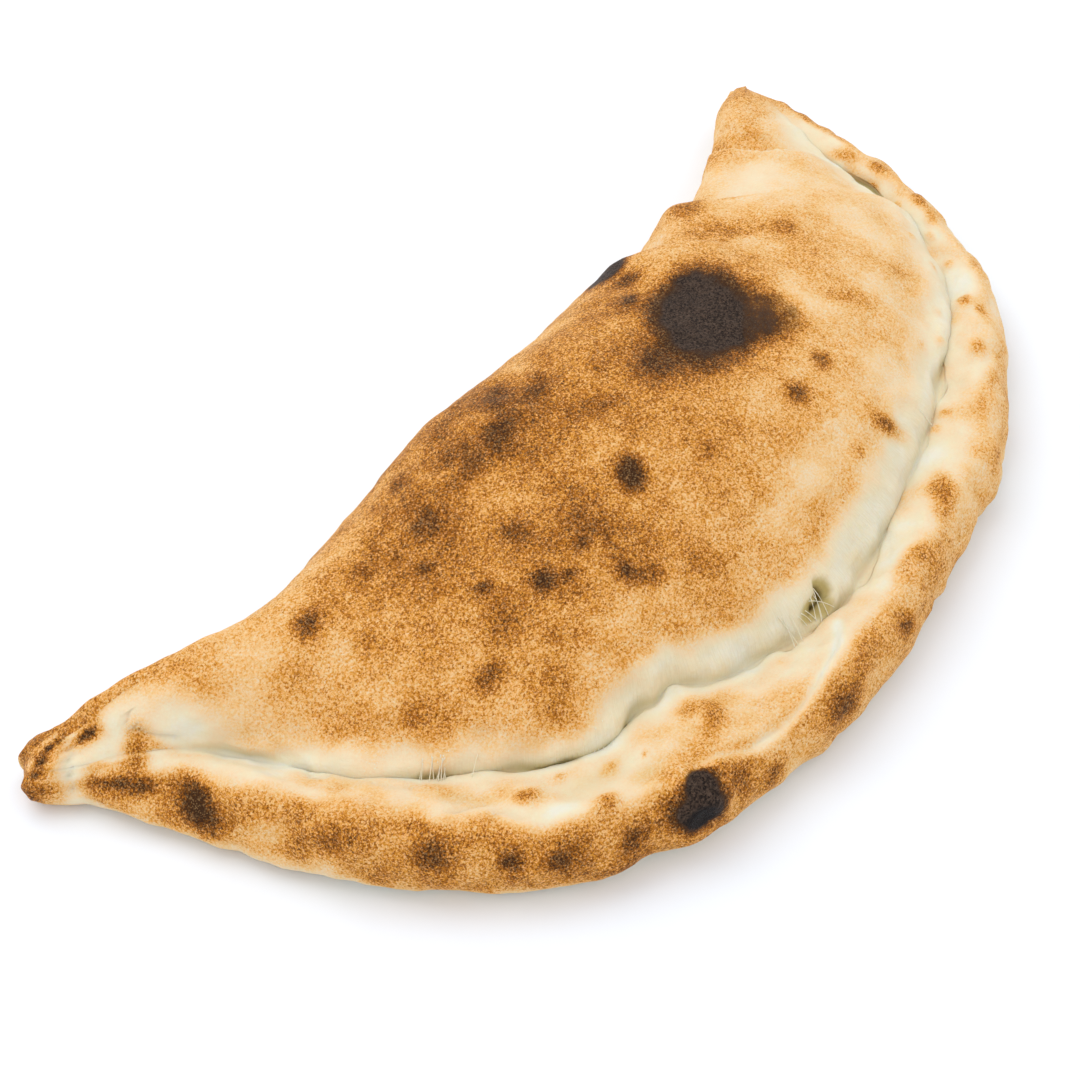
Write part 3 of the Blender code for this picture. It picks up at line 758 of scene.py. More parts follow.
def from_line(x, y, line):
    """Signed distance from a line of points, positive on its left, and share of the way along."""
    line = np.array(line, float)
    nearest = np.full(x.shape, np.inf)
    signed = np.zeros(x.shape)
    share = np.zeros(x.shape)
    spans = len(line) - 1
    for i in range(spans):
        (ax, ay), (bx, by) = line[i], line[i + 1]
        length = math.hypot(bx - ax, by - ay)
        t = np.clip(((x - ax) * (bx - ax) + (y - ay) * (by - ay)) / length ** 2, 0, 1)
        away = np.hypot(x - ax - t * (bx - ax), y - ay - t * (by - ay))
        side = np.sign((bx - ax) * (y - ay) - (by - ay) * (x - ax))
        closer = away < nearest
        nearest = np.where(closer, away, nearest)
        signed = np.where(closer, side * away, signed)
        share = np.where(closer, (i + t) / spans, share)
    return signed, share


class CrustGrid:
    """The plain form on the fine grid, and where each of its points is on the crust.

    plain is in metres and points in millimetres. girth is the length along the widest line from
    the tail, climb the length up the column from the widest line, and above the same from the
    seam, all in millimetres. rim_side is 1 on the rim side, and on_top 1 well above the base.
    """

    def __init__(self):
        places = column_places()
        stages = ring_stages()
        v, r = places[np.newaxis, :], stages[:, np.newaxis]
        rim = side_points(v, r, True)
        fold = side_points(v, r, False)
        self.places, self.stages = places, stages
        self.plain = both_sides(rim, fold)
        self.points = self.plain / MM
        self.x, self.y, _ = np.moveaxis(self.points, -1, 0)
        self.v = both_sides(v + 0 * r, v + 0 * r)
        self.r = r + 0 * self.v
        self.rim_side = both_sides(np.ones_like(v + r), np.zeros_like(v + r))
        self.on_top = smooth(*TOP_FADES_OVER, self.r)
        self.rim_girth = length_along(*rim_outline(v)) / MM
        self.girth = both_sides(self.rim_girth + 0 * r, self.rim_girth + 0 * r)
        self.rim_climb = self.climb_of(rim)
        self.climb = both_sides(self.rim_climb, self.climb_of(fold))
        at_seam = np.searchsorted(stages, SEAM_AT)
        self.above = self.climb - both_sides(
            self.rim_climb[at_seam] + 0 * r, self.rim_climb[at_seam] + 0 * r
        )

    def climb_of(self, side):
        """Length up each column of a side from its widest line, in millimetres."""
        lengths = np.linalg.norm(np.diff(side, axis=0), axis=-1)
        total = np.concatenate([np.zeros((1, side.shape[1])), np.cumsum(lengths, axis=0)])
        return (total - total[np.searchsorted(self.stages, UNDER_END)]) / MM

    def on_rim(self, v, r):
        """Girth and climb of a place on the rim side."""
        column = np.interp(v, self.places, np.arange(len(self.places)))
        climb = np.interp(r, self.stages, self.rim_climb[:, int(round(column))])
        return np.interp(v, self.places, self.rim_girth[0]), climb

    def rim_ovals(self, table):
        """Pairs of squared oval distance on the rim side and the last number of each row."""
        for v, r, half_length, half_width, amount in table:
            girth, climb = self.on_rim(v, r)
            reach = oval(self.girth - girth, self.climb - climb, half_length, half_width, 0)
            yield np.where(self.rim_side > 0, reach, FAR_OFF), amount

    def top_ovals(self, table):
        """The same for the top, where places are x and y."""
        covered = smooth(UNDER_END, UNDER_END + TOP_BEGINS_OVER, self.r)
        for x, y, half_length, half_width, turn, amount in table:
            reach = oval(self.x - x, self.y - y, half_length, half_width, turn)
            yield reach + FAR_OFF * (1 - covered), amount


def length_along(x, y):
    """Length of a line of points from its start to each of them."""
    steps_along = np.hypot(np.diff(x, axis=1), np.diff(y, axis=1))
    return np.concatenate([np.zeros((1, 1)), np.cumsum(steps_along, axis=1)], axis=1)


def crease_height(signed, share, half_width, depth, step):
    """A groove with a step up on its left side, fading out at both ends of the line."""
    fade = smooth(0, CREASE_FADE, share) * smooth(1, 1 - CREASE_FADE, share)
    groove = depth * np.exp(-np.abs(signed / half_width) ** CREASE_POWER)
    reach = CREASE_STEP_REACH * half_width
    rise = step * np.tanh(signed / half_width) * np.exp(-np.abs(signed) / reach)
    return fade * (rise - groove)


def relief(grid):
    """Height of hills, creases, terraces and lumps above the plain form, in millimetres."""
    height = np.zeros(grid.v.shape)
    for reach, amount in grid.rim_ovals(RIM_HILLS):
        height += amount * np.exp(-reach ** RIM_HILL_POWER)
    for reach, amount in grid.top_ovals(TOP_HILLS):
        height += amount * np.exp(-reach ** TOP_HILL_POWER)
    for reach, depth in grid.rim_ovals([row[:5] for row in TEARS]):
        height -= depth * np.exp(-reach ** RIM_HILL_POWER)
    for half_width, depth, step, line in RIM_CREASES:
        points = [grid.on_rim(*place) for place in line]
        signed, share = from_line(grid.girth, grid.climb, points)
        height += grid.rim_side * crease_height(signed, share, half_width, depth, step)
    for half_width, depth, step, line in TOP_CREASES:
        signed, share = from_line(grid.x, grid.y, line)
        height += grid.on_top * crease_height(signed, share, half_width, depth, step)
    height += swelling(grid.x, (TAIL_NECK,))
    domed = smooth(CRACK_END, LUMPS_SETTLE_AT, grid.r) * grid.rim_side + (1 - grid.rim_side)
    for size, on_rim, on_dome, seed in LUMPS:
        amount = on_rim + (on_dome - on_rim) * domed
        height += amount * waves(grid.points, size, seed)
    return height


def ways_out(points, r):
    """Unit normals, turning straight up towards the crest, where the two sides meet."""
    around = np.roll(points, -1, axis=1) - np.roll(points, 1, axis=1)
    inward = np.gradient(points, axis=0)
    normal = np.cross(around, inward)
    normal /= np.maximum(np.linalg.norm(normal, axis=-1, keepdims=True), TINY)
    upward = smooth(RELIEF_UPRIGHT_FROM, 1, r)[..., np.newaxis]
    return (1 - upward) * normal + upward * np.array([0, 0, 1])


def dome_heat(grid):
    """Baking of the dome and the fold, without spots."""
    heat = DOME_HEAT + clouds(grid.points, DOME_CLOUDS)
    for reach, amount in grid.top_ovals(DOME_HEAT_AREAS):
        heat += amount * np.exp(-reach)
    low_fold = smooth(FOLD_PALE_UP_TO, 0, grid.r) * (1 - grid.rim_side)
    return heat + (FOLD_BASE_HEAT - heat) * low_fold


def rim_heat(grid):
    """Baking of the rim: browned outside, paler inside and underneath, without spots."""
    outer = RIM_HEAT + swelling(grid.v, RIM_HEAT_BUMPS) + clouds(grid.points, OUTER_CLOUDS)
    inner = INNER_HEAT + level(grid.v, INNER_HEAT_STEPS) + clouds(grid.points, INNER_CLOUDS)
    edge = RIM_EDGE + swelling(grid.v, RIM_EDGE_BUMPS) + clouds(grid.points, EDGE_CLOUDS)
    before, after = RIM_EDGE_EASE
    heat = outer + (inner - outer) * smooth(edge + before, edge + after, grid.r)
    for reach, amount in grid.rim_ovals(RIM_HEAT_AREAS):
        heat += amount * np.exp(-reach ** RIM_AREA_POWER)
    heat -= LIP_PALING * smooth(*LIP_RINGS, grid.r) * smooth(*LIP_PLACES, grid.v)
    under = UNDER_HEAT + swelling(grid.v, UNDER_HEAT_BUMPS)
    pale_up_to = UNDER_PALE_UP_TO + level(grid.v, UNDER_PALE_STEPS)
    return heat + (under - heat) * smooth(pale_up_to, pale_up_to - UNDER_PALE_EASE, grid.r)


def heat_of(grid):
    """How far each point has baked, from 0 (white crumb) to 1 (dark brown), and how torn it is."""
    dome, rim = dome_heat(grid), rim_heat(grid)
    waver = BAND_WAVER + level(grid.v, BAND_WAVER_STEPS)
    band = BAND_WIDTH + level(grid.v, BAND_STEPS) + waver * clouds(grid.points, BAND_CLOUDS)
    blur = BAND_BLUR + level(grid.v, BAND_BLUR_STEPS)
    baked = smooth(band - blur, band + blur, grid.above)
    crumb = CRUMB_HEAT + clouds(grid.points, CRUMB_CLOUDS)
    beyond = smooth(-SEAM_EASE, SEAM_EASE, grid.above)
    rim_side = rim + (crumb + (dome - crumb) * baked - rim) * beyond
    heat = dome + (rim_side - dome) * between(RIM_COLOUR_SPANS, grid.v) * grid.rim_side
    torn = (1 - baked) * beyond * between(FIBRE_SPANS, grid.v) * grid.rim_side

    for half_width, amount, line in RIM_STRIPES:
        points = [grid.on_rim(*place) for place in line]
        signed, _ = from_line(grid.girth, grid.climb, points)
        heat += amount * grid.rim_side * hill(signed, 0, half_width)
    for half_width, amount, line in TOP_STRIPES:
        signed, _ = from_line(grid.x, grid.y, line)
        heat += amount * grid.on_top * hill(signed, 0, half_width)
    for spots in (grid.top_ovals(TOP_SPOTS), grid.rim_ovals(RIM_SPOTS)):
        for reach, amount in spots:
            heat += amount * np.exp(-reach ** SPOT_POWER)
    return heat + CHAR_HALO * strongest(grid, chars(grid), CHAR_HALO_EDGE), torn


def strongest(grid, ovals, edge, ragged=0):
    """The greatest of the ovals' strengths at each point, easing off across their edge."""
    most = np.zeros(grid.v.shape)
    for reach, strength in ovals:
        most = np.maximum(most, strength * smooth(*edge, reach + ragged))
    return most


def chars(grid):
    """Pairs of squared oval distance and strength for each charred place."""
    yield from grid.top_ovals(TOP_CHARS)
    yield from grid.rim_ovals(RIM_CHARS)


def char_of(grid):
    """How charred each point is, from 0 to 1, and where the char is sunken and glossy."""
    charred = strongest(grid, chars(grid), CHAR_EDGE, clouds(grid.points, CHAR_CLOUDS))
    return charred, strongest(grid, grid.rim_ovals(RIM_GLOSS), GLOSS_EDGE)


def painted_crack_shade(grid):
    """Painted shade inside the crack, the tear and the sunken raw places, from 0 to 1."""
    opening = np.clip(swelling(grid.v, CRACK_BUMPS) / CRACK_WIDEST, 0, 1)
    inside = hill(grid.r, CRACK_SHADE_AT, CRACK_HALF_WIDTH) * grid.rim_side
    shade = CRACK_SHADE * opening * inside
    for reach, depth_of_shade in grid.rim_ovals([row[:4] + row[5:] for row in TEARS]):
        shade = np.maximum(shade, depth_of_shade * np.exp(-reach ** TEAR_SHADE_POWER))
    for reach, depth_of_shade in grid.rim_ovals(SUNKEN_SHADE):
        shade = np.maximum(shade, depth_of_shade * np.exp(-reach))
    return shade


# ---- Meshes ----

def mesh_object(name, points, faces, attributes=None):
    """An object of a mesh given as points, faces and one value per point for each attribute."""
    data = bpy.data.meshes.new(name)
    data.from_pydata(points, [], faces)
    for label, values in (attributes or {}).items():
        layer = data.attributes.new(label, "FLOAT", "POINT")
        layer.data.foreach_set("value", np.asarray(values, np.float32))
    data.shade_smooth()
    data.update()
    piece = bpy.data.objects.new(name, data)
    bpy.context.scene.collection.objects.link(piece)
    return piece


def crust_faces(rings, around):
    """Point numbers of the crust's faces, and how its points are kept.

    Every ring has `around` points. The crest ring keeps only its rim half, which both sides
    share. Below, rows of points cross the base from the rim to the fold.
    """
    half = around // 2
    number = np.arange(rings * around).reshape(rings, around)
    number[-1, half + 1:] = number[-1, half - 1:0:-1]
    after = np.roll(number, -1, axis=1)
    walls = np.stack([number[:-1], after[:-1], after[1:], number[1:]], axis=-1).reshape(-1, 4)
    rim_base = number[0, :half + 1]
    fold_base = np.concatenate([number[0, :1], number[0, :half - 1:-1]])
    first = (rings - 1) * around + half + 1
    inside = first + np.arange((BASE_ROWS - 1) * (half - 1)).reshape(BASE_ROWS - 1, half - 1)
    tail = np.full((BASE_ROWS - 1, 1), rim_base[0])
    tip = np.full((BASE_ROWS - 1, 1), rim_base[-1])
    rows = np.vstack([rim_base, np.hstack([tail, inside, tip]), fold_base])
    floor = np.stack([rows[:-1, :-1], rows[1:, :-1], rows[1:, 1:], rows[:-1, 1:]], axis=-1)
    squares = floor[:, 1:-1].reshape(-1, 4)
    tail_ends = floor[:, 0][:, [0, 2, 3]]
    tip_ends = floor[:, -1][:, [0, 1, 2]]
    return walls.tolist() + squares.tolist() + tail_ends.tolist() + tip_ends.tolist()


def kept(values, base):
    """Values of all rings in the order of the crust's points, then those inside the base."""
    half = values.shape[1] // 2
    flat = values.shape[2:]
    return np.concatenate([
        values[:-1].reshape((-1,) + flat),
        values[-1, :half + 1].reshape((-1,) + flat),
        base.reshape((-1,) + flat),
    ])


def base_points(points):
    """Rows of points straight across the base, from its rim edge to its fold edge."""
    half = points.shape[1] // 2
    rim = points[0, 1:half]
    fold = points[0, :half:-1]
    share = np.linspace(0, 1, BASE_ROWS + 1)[1:-1, np.newaxis, np.newaxis]
    return rim + (fold - rim) * share


def fitted(points):
    """Points moved and barely scaled, so that they fill the solid's box."""
    low, high = (np.array(corner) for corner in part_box(SOLID))
    low, high = low + BOX_MARGIN, high - BOX_MARGIN
    at, reach = points.min(axis=(0, 1)), np.ptp(points, axis=(0, 1))
    return low + (points - at) * (high - low) / reach


def crust_surface():
    """The crust's grid and its points, fitted to the solid's box."""
    grid = CrustGrid()
    height = relief(grid) * smooth(0, UNDER_END, grid.r)
    points = grid.plain + MM * height[..., np.newaxis] * ways_out(grid.plain, grid.r)
    return grid, fitted(points)


def surface_at(grid, points, v, r):
    """Points of the rim side at places v and rings r, between the grid's own points."""
    column = np.interp(v, grid.places, np.arange(len(grid.places)))
    ring = np.interp(r, grid.stages, np.arange(len(grid.stages)))
    i, j = ring.astype(int), column.astype(int)
    up, along = (ring - i)[..., np.newaxis], (column - j)[..., np.newaxis]
    lower = points[i, j] + along * (points[i, j + 1] - points[i, j])
    upper = points[i + 1, j] + along * (points[i + 1, j + 1] - points[i + 1, j])
    return lower + up * (upper - lower)


def strand_rows():
    """Rows of STRANDS, then those of each web, drawn by chance."""
    rows = [np.array(STRANDS)]
    for i, (start, end, count) in enumerate(WEBS):
        draw = np.random.default_rng(WEB_SEED + i)
        low = draw.uniform(start, end, count)
        high = low + draw.normal(0, WEB_LEAN, count)
        low_ring = WEB_RINGS[0] + draw.normal(0, WEB_RING_SPREAD, count)
        high_ring = WEB_RINGS[1] + draw.normal(0, WEB_RING_SPREAD, count)
        rise = draw.uniform(*WEB_RISE, count)
        rows.append(np.stack([low, low_ring, high, high_ring, rise], axis=-1))
    return np.concatenate(rows)


def strand_tubes(grid, surface, radius):
    """Points and faces of one thin tube for each strand, bowed up between its ends.

    Centre at t from 0 to 1: start + t (end - start) + 4 t (1 - t) rise. The radius is full at
    the ends and half in the middle, and each end closes on one point.
    """
    start_v, start_r, end_v, end_r, rise = strand_rows().T
    start = surface_at(grid, surface, start_v, start_r)
    end = surface_at(grid, surface, end_v, end_r)
    t = np.linspace(0, 1, STRAND_POINTS)[np.newaxis, :, np.newaxis]
    up = np.array([0, 0, 1])
    centre = start[:, np.newaxis] + t * (end - start)[:, np.newaxis]
    centre = centre + 4 * t * (1 - t) * MM * rise[:, np.newaxis, np.newaxis] * up
    way = np.gradient(centre, axis=1)
    side = np.cross(way, up)
    side /= np.maximum(np.linalg.norm(side, axis=-1, keepdims=True), TINY)
    top = np.cross(side, way)
    top /= np.maximum(np.linalg.norm(top, axis=-1, keepdims=True), TINY)
    turn = np.linspace(0, 2 * np.pi, STRAND_SIDES, endpoint=False)[:, np.newaxis]
    thinning = (1 - STRAND_WAIST) * 4 * t * (1 - t)
    thickness = radius * (1 - thinning)[:, :, np.newaxis]
    ring = centre[:, :, np.newaxis] + thickness * (
        side[:, :, np.newaxis] * np.cos(turn) + top[:, :, np.newaxis] * np.sin(turn)
    )
    count = len(rise)
    poles = centre[:, [0, -1]] + np.stack([-way[:, 0], way[:, -1]], axis=1) * STRAND_CAP
    points = np.concatenate([ring.reshape(count, -1, 3), poles], axis=1)
    tube = np.arange(STRAND_POINTS * STRAND_SIDES).reshape(STRAND_POINTS, STRAND_SIDES)
    after = np.roll(tube, -1, axis=1)
    walls = np.stack([tube[:-1], tube[1:], after[1:], after[:-1]], axis=-1).reshape(-1, 4)
    first, last = np.full(STRAND_SIDES, tube.size), np.full(STRAND_SIDES, tube.size + 1)
    caps = np.concatenate([
        np.stack([first, tube[0], after[0]], axis=-1),
        np.stack([last, after[-1], tube[-1]], axis=-1),
    ])
    shift = (np.arange(count) * points.shape[1])[:, np.newaxis, np.newaxis]
    faces = (walls + shift).reshape(-1, 4).tolist() + (caps + shift).reshape(-1, 3).tolist()
    return points.reshape(-1, 3), faces


# ---- Finishes ----

MOTTLE_SIZE = 6.5 * MM
BLOTCH_SIZE = 16 * MM
CRUMB_SHARE = 0.62
SPECK_SHARE = 0.5
FIBRES_ALONG = 2.6
FIBRES_ACROSS = 0.22

# What all dough has alike: light sinks in a little and shines back warm.
DOUGH = {
    "Specular IOR Level": 0.10, "Subsurface Weight": 0.3, "Subsurface Radius": (1.0, 0.6, 0.35),
}


class Wire:
    """A socket that can be used in sums: each sum adds its Math nodes."""

    def __init__(self, finish, socket):
        self.finish, self.socket = finish, socket

    def sum(self, operation, first, second, clamp=False):
        settings = {"operation": operation, "use_clamp": clamp}
        return self.finish.node("ShaderNodeMath", settings, {0: first, 1: second})

    def __add__(self, other):
        return self.sum("ADD", self, other)

    def __radd__(self, other):
        return self.sum("ADD", other, self)

    def __sub__(self, other):
        return self.sum("SUBTRACT", self, other)

    def __rsub__(self, other):
        return self.sum("SUBTRACT", other, self)

    def __mul__(self, other):
        return self.sum("MULTIPLY", self, other)

    def __rmul__(self, other):
        return self.sum("MULTIPLY", other, self)

    def clamped(self):
        """The value kept between 0 and 1."""
        return self.sum("ADD", self, 0.0, clamp=True)

    def over(self, start, end):
        """Ease from 0 at start to 1 at end."""
        settings = {"interpolation_type": "SMOOTHSTEP"}
        values = {"Value": self, "From Min": start, "From Max": end, "To Min": 0.0, "To Max": 1.0}
        return self.finish.node("ShaderNodeMapRange", settings, values, "Result")


class Finish:
    """A material and the nodes put into it."""

    def __init__(self, name):
        self.material = bpy.data.materials.new(name)
        self.material.use_nodes = True
        self.tree = self.material.node_tree
        self.shader = self.tree.nodes["Principled BSDF"]

    def node(self, kind, settings=None, inputs=None, output=0):
        """Adds a node: its settings first, then values or wires into its sockets."""
        node = self.tree.nodes.new(kind)
        for name, value in (settings or {}).items():
            if name == "stops":
                self.set_stops(node.color_ramp, value)
            else:
                setattr(node, name, value)
        for name, value in (inputs or {}).items():
            self.feed(node.inputs[name], value)
        return Wire(self, node.outputs[output])

    def feed(self, socket, value):
        """Links a wire to a socket, or sets the socket to a value."""
        if isinstance(value, Wire):
            self.tree.links.new(value.socket, socket)
        else:
            socket.default_value = value

    def set_stops(self, ramp, stops):
        """Stops run from place 0 to place 1."""
        ramp.elements[0].color = (*stops[0][1], 1.0)
        ramp.elements[-1].color = (*stops[-1][1], 1.0)
        for place, colour in stops[1:-1]:
            ramp.elements.new(place).color = (*colour, 1.0)

    def mixed(self, share, first, second):
        """The first colour where share is 0 and the second where it is 1."""
        colours = [value if isinstance(value, Wire) else (*value, 1.0) for value in (first, second)]
        values = {0: share, 6: colours[0], 7: colours[1]}
        return self.node("ShaderNodeMix", {"data_type": "RGBA"}, values, 2)

    def attribute(self, name):
        """A value kept at each point of the mesh."""
        return self.node("ShaderNodeAttribute", {"attribute_name": name}, output="Fac")

    def noise(self, place, size, detail=2.0, roughness=0.5):
        """Cloudy noise about 0.5, of one size in the units of the place."""
        values = {"Vector": place, "Scale": 1 / size, "Detail": detail, "Roughness": roughness}
        return self.node("ShaderNodeTexNoise", {}, values, "Fac")

    def cells(self, place, size):
        """A chance value from 0 to 1 in each cell of a crumbly pattern of one size."""
        values = {"Vector": place, "Scale": 1 / size}
        chance = self.node("ShaderNodeTexVoronoi", {"feature": "F1"}, values, "Color")
        return self.node("ShaderNodeSeparateColor", {}, {"Color": chance}, "Red")

    def finished(self, inputs):
        """The material, with values or wires in its shader's sockets."""
        for name, value in inputs.items():
            self.feed(self.shader.inputs[name], value)
        return self.material


def fibres(finish):
    """Stretched noise that runs up the torn band: fine along the pie, long across it."""
    along = finish.attribute("girth") * FIBRES_ALONG
    across = finish.attribute("climb") * FIBRES_ACROSS
    place = finish.node("ShaderNodeCombineXYZ", {}, {"X": along, "Y": across})
    return finish.noise(place, 1.0, 3.0)


def crust_finish(look):
    """Browned crust, scorched and charred spots, and torn white crumb with its fibres."""
    finish = Finish("baked_crust")
    place = finish.node("ShaderNodeTexCoord", output="Object")
    # The crack value is painted shade in the crack, the tear and the sunken raw places.
    heat, char, torn, crack, gloss = (
        finish.attribute(name) for name in ("baked", "char", "torn", "crack", "gloss")
    )
    mottle = finish.noise(place, MOTTLE_SIZE, 3.0, 0.6) - 0.5
    blotch = finish.noise(place, BLOTCH_SIZE) - 0.5
    grain = finish.noise(place, look.grain_size, 3.0, 0.8) - 0.5
    crumb = finish.cells(place, look.grain_size * CRUMB_SHARE) - 0.5
    speckle = finish.cells(place, look.grain_size * SPECK_SHARE)
    fibre = fibres(finish)

    # Baking with its fine variation, strong where browned and weak on raw dough.
    browned = heat.over(0.14, 0.58)
    on_crust = mottle * 0.38 + blotch * 0.22 + grain * 0.85 + crumb * 0.26
    on_dough = mottle * 0.26 + grain * 0.16
    baked = heat + browned * on_crust + (1 - browned) * on_dough
    stops = [
        (0.0, look.crumb_colour), (0.14, look.cream_colour), (0.26, look.blush_colour),
        (0.38, look.straw_colour), (0.55, look.gold_colour), (0.70, look.brown_colour),
        (0.85, look.umber_colour), (1.0, look.scorch_colour),
    ]
    colour = finish.node("ShaderNodeValToRGB", {"stops": stops}, {"Fac": baked.clamped()}, "Color")
    specked = speckle.over(0.60, 1.0) * browned * (0.75 - baked.over(0.45, 0.9) * 0.55)
    colour = finish.mixed(specked, colour, look.speck_colour)

    # Painted shade between the fibres, down in the crack and the tear, and in the sunken raw places.
    colour = finish.mixed(torn * fibre.over(0.62, 0.38) * 0.12, colour, look.crack_shade_colour)
    colour = finish.mixed(crack.over(0.0, 0.5), colour, look.crack_shade_colour)
    colour = finish.mixed(crack.over(0.55, 0.95), colour, look.tear_shade_colour)

    # Char with a ragged, singed edge, and a near-black sunken part.
    ragged = char + mottle * 0.55 + grain * 0.25
    charred = ragged.over(0.35, 0.75) * char.over(0.02, 0.2)
    singed = ragged.over(0.10, 0.50) * char.over(0.0, 0.15)
    ashes = (grain * 0.7 + crumb * 0.3).over(-0.25, 0.35)
    soot = finish.mixed(ashes, look.soot_colour, look.char_colour)
    soot = finish.mixed(gloss * 0.95, soot, look.sunken_colour)
    colour = finish.mixed(singed * 0.7, colour, look.scorch_colour)
    colour = finish.mixed(charred, colour, soot)

    fine_relief = (
        grain * (0.16 + browned * 0.20) + crumb * browned * 0.08 + mottle * 0.6
        + torn * (fibre - 0.5) * 0.22
    )
    bump = finish.node("ShaderNodeBump", {}, {
        "Strength": 1.0, "Distance": MM, "Height": fine_relief * look.relief,
    }, "Normal")
    roughness = 0.62 + mottle * 0.3 - browned * 0.08 + torn * 0.2 - gloss * 0.30
    return finish.finished({
        "Base Color": colour, "Roughness": roughness.clamped(), "Coat Weight": gloss * 0.08,
        "Coat Roughness": 0.25, "Normal": bump, "IOR": 1.42, "Subsurface Scale": 3 * MM, **DOUGH,
    })


def strand_finish(look):
    """Pale strands of dough, lightly mottled."""
    finish = Finish("dough_strand")
    place = finish.node("ShaderNodeTexCoord", output="Object")
    colour = finish.mixed(finish.noise(place, 2 * MM), look.cream_colour, look.crumb_colour)
    return finish.finished({
        "Base Color": colour, "Roughness": 0.6, "Subsurface Scale": MM, **DOUGH,
    })


def floor_finish(stage):
    """Plain matt floor."""
    finish = Finish("studio_floor")
    return finish.finished({"Base Color": (*stage.floor_colour, 1.0), "Roughness": 0.9})


# ---- What a user can change ----

def number_property(name, description, default, **limits):
    """A number that a user can change."""
    return bpy.props.FloatProperty(name=name, description=description, default=default, **limits)


def length_property(name, description, default, smallest, largest):
    """A length in metres."""
    limits = {"min": smallest, "max": largest, "unit": "LENGTH", "precision": 5}
    return number_property(name, description, default, **limits)


def angle_property(name, description, degrees):
    """An angle, given in degrees."""
    return number_property(name, description, math.radians(degrees), subtype="ANGLE", unit="ROTATION")


def colour_property(name, description, red, green, blue):
    """A colour, given as a screen colour."""
    return bpy.props.FloatVectorProperty(
        name=name, description=description, subtype="COLOR", size=3, min=0.0, max=1.0,
        default=screen(red, green, blue),
    )


class CalzoneCrust(bpy.types.PropertyGroup):
    """Colours and sizes of the crust."""

    crumb_colour: colour_property("Crumb", "Raw white crumb of the torn dough", 222, 219, 203)
    cream_colour: colour_property("Cream", "Pale dough, barely baked", 224, 212, 182)
    blush_colour: colour_property("Blush", "Dough that starts to colour", 226, 202, 166)
    straw_colour: colour_property("Straw", "Lightly coloured crust", 228, 190, 135)
    gold_colour: colour_property("Gold", "Golden crust", 216, 149, 55)
    brown_colour: colour_property("Brown", "Browned crust", 164, 97, 26)
    umber_colour: colour_property("Umber", "Dark brown crust round scorched places", 108, 64, 18)
    scorch_colour: colour_property("Scorch", "Scorched spots", 60, 36, 16)
    char_colour: colour_property("Char", "Lighter part of charred crust", 94, 76, 64)
    soot_colour: colour_property("Soot", "Darker part of charred crust", 22, 15, 12)
    sunken_colour: colour_property("Sunken char", "Near-black, sunken part of charred crust", 13, 7, 7)
    speck_colour: colour_property("Specks", "Light specks of the browned crust", 238, 190, 130)
    # Painted shade along the seam, between the fibres and in the sunken raw places.
    crack_shade_colour: colour_property("Crack", "Shade along the seam and between fibres", 186, 168, 112)
    # Painted shade deep in the tear.
    tear_shade_colour: colour_property("Hollow", "Depth of the tear", 96, 78, 34)
    grain_size: length_property("Grain", "Size of the crust's fine grain", 0.64 * MM, 0.1 * MM, 5 * MM)
    relief: number_property(
        "Fine relief", "Strength of the crust's fine relief", 1.0, min=0.0, max=3.0,
        subtype="FACTOR",
    )
    strand_radius: length_property(
        "Strand radius", "Radius of the strands of dough across the tear",
        0.15 * MM, 0.05 * MM, 2 * MM,
    )


class CalzoneStage(bpy.types.PropertyGroup):
    """Floor, light and camera."""

    floor_colour: colour_property("Floor", "Colour of the floor", 236, 241, 248)
    floor_size: length_property("Floor size", "Length of each side of the floor", 6.0, 1.0, 50.0)
    sky_strength: number_property("Sky", "Strength of the light from all round", 1.08, min=0.0)
    lamp_power: number_property("Lamp", "Power of the soft lamp", 6.5, min=0.0, unit="POWER")
    lamp_size: length_property("Lamp size", "Side of the soft lamp", 1.2, 0.01, 10.0)
    lamp_azimuth: angle_property("Lamp azimuth", "Way to the lamp in plan, from +X towards +Y", 100)
    lamp_elevation: angle_property("Lamp elevation", "Height of the lamp above the horizon", 64)
    lamp_distance: length_property("Lamp distance", "Distance of the lamp from the pie", 1.5, 0.2, 50.0)
    camera_azimuth: angle_property("Camera azimuth", "Turn of the camera round the pie from -Y", -53.65)
    camera_elevation: angle_property("Camera elevation", "Height of the camera above the horizon", 48)
    camera_distance: length_property(
        "Camera distance", "Distance of the camera from its target", 0.9, 0.2, 50.0
    )
    camera_target: bpy.props.FloatVectorProperty(
        name="Camera target", description="Point on the floor that the camera looks at",
        default=(-13.14 * MM, 22.17 * MM, 0.0), size=3, subtype="TRANSLATION", unit="LENGTH",
    )
    camera_lens: number_property(
        "Lens", "Focal length of the camera in millimetres", 117.67, min=10.0, unit="CAMERA"
    )


# ---- Operators ----

SENSOR_WIDTH = 36.0
CLIP_START = 0.01


def towards(azimuth, elevation):
    """Unit direction at an azimuth from +X and a height above the horizon."""
    flat = math.cos(elevation)
    return Vector((flat * math.cos(azimuth), flat * math.sin(azimuth), math.sin(elevation)))


def facing(place, target):
    """Turn of a lamp or camera at a place that looks at a target."""
    return (target - place).to_track_quat("-Z", "Y").to_euler()


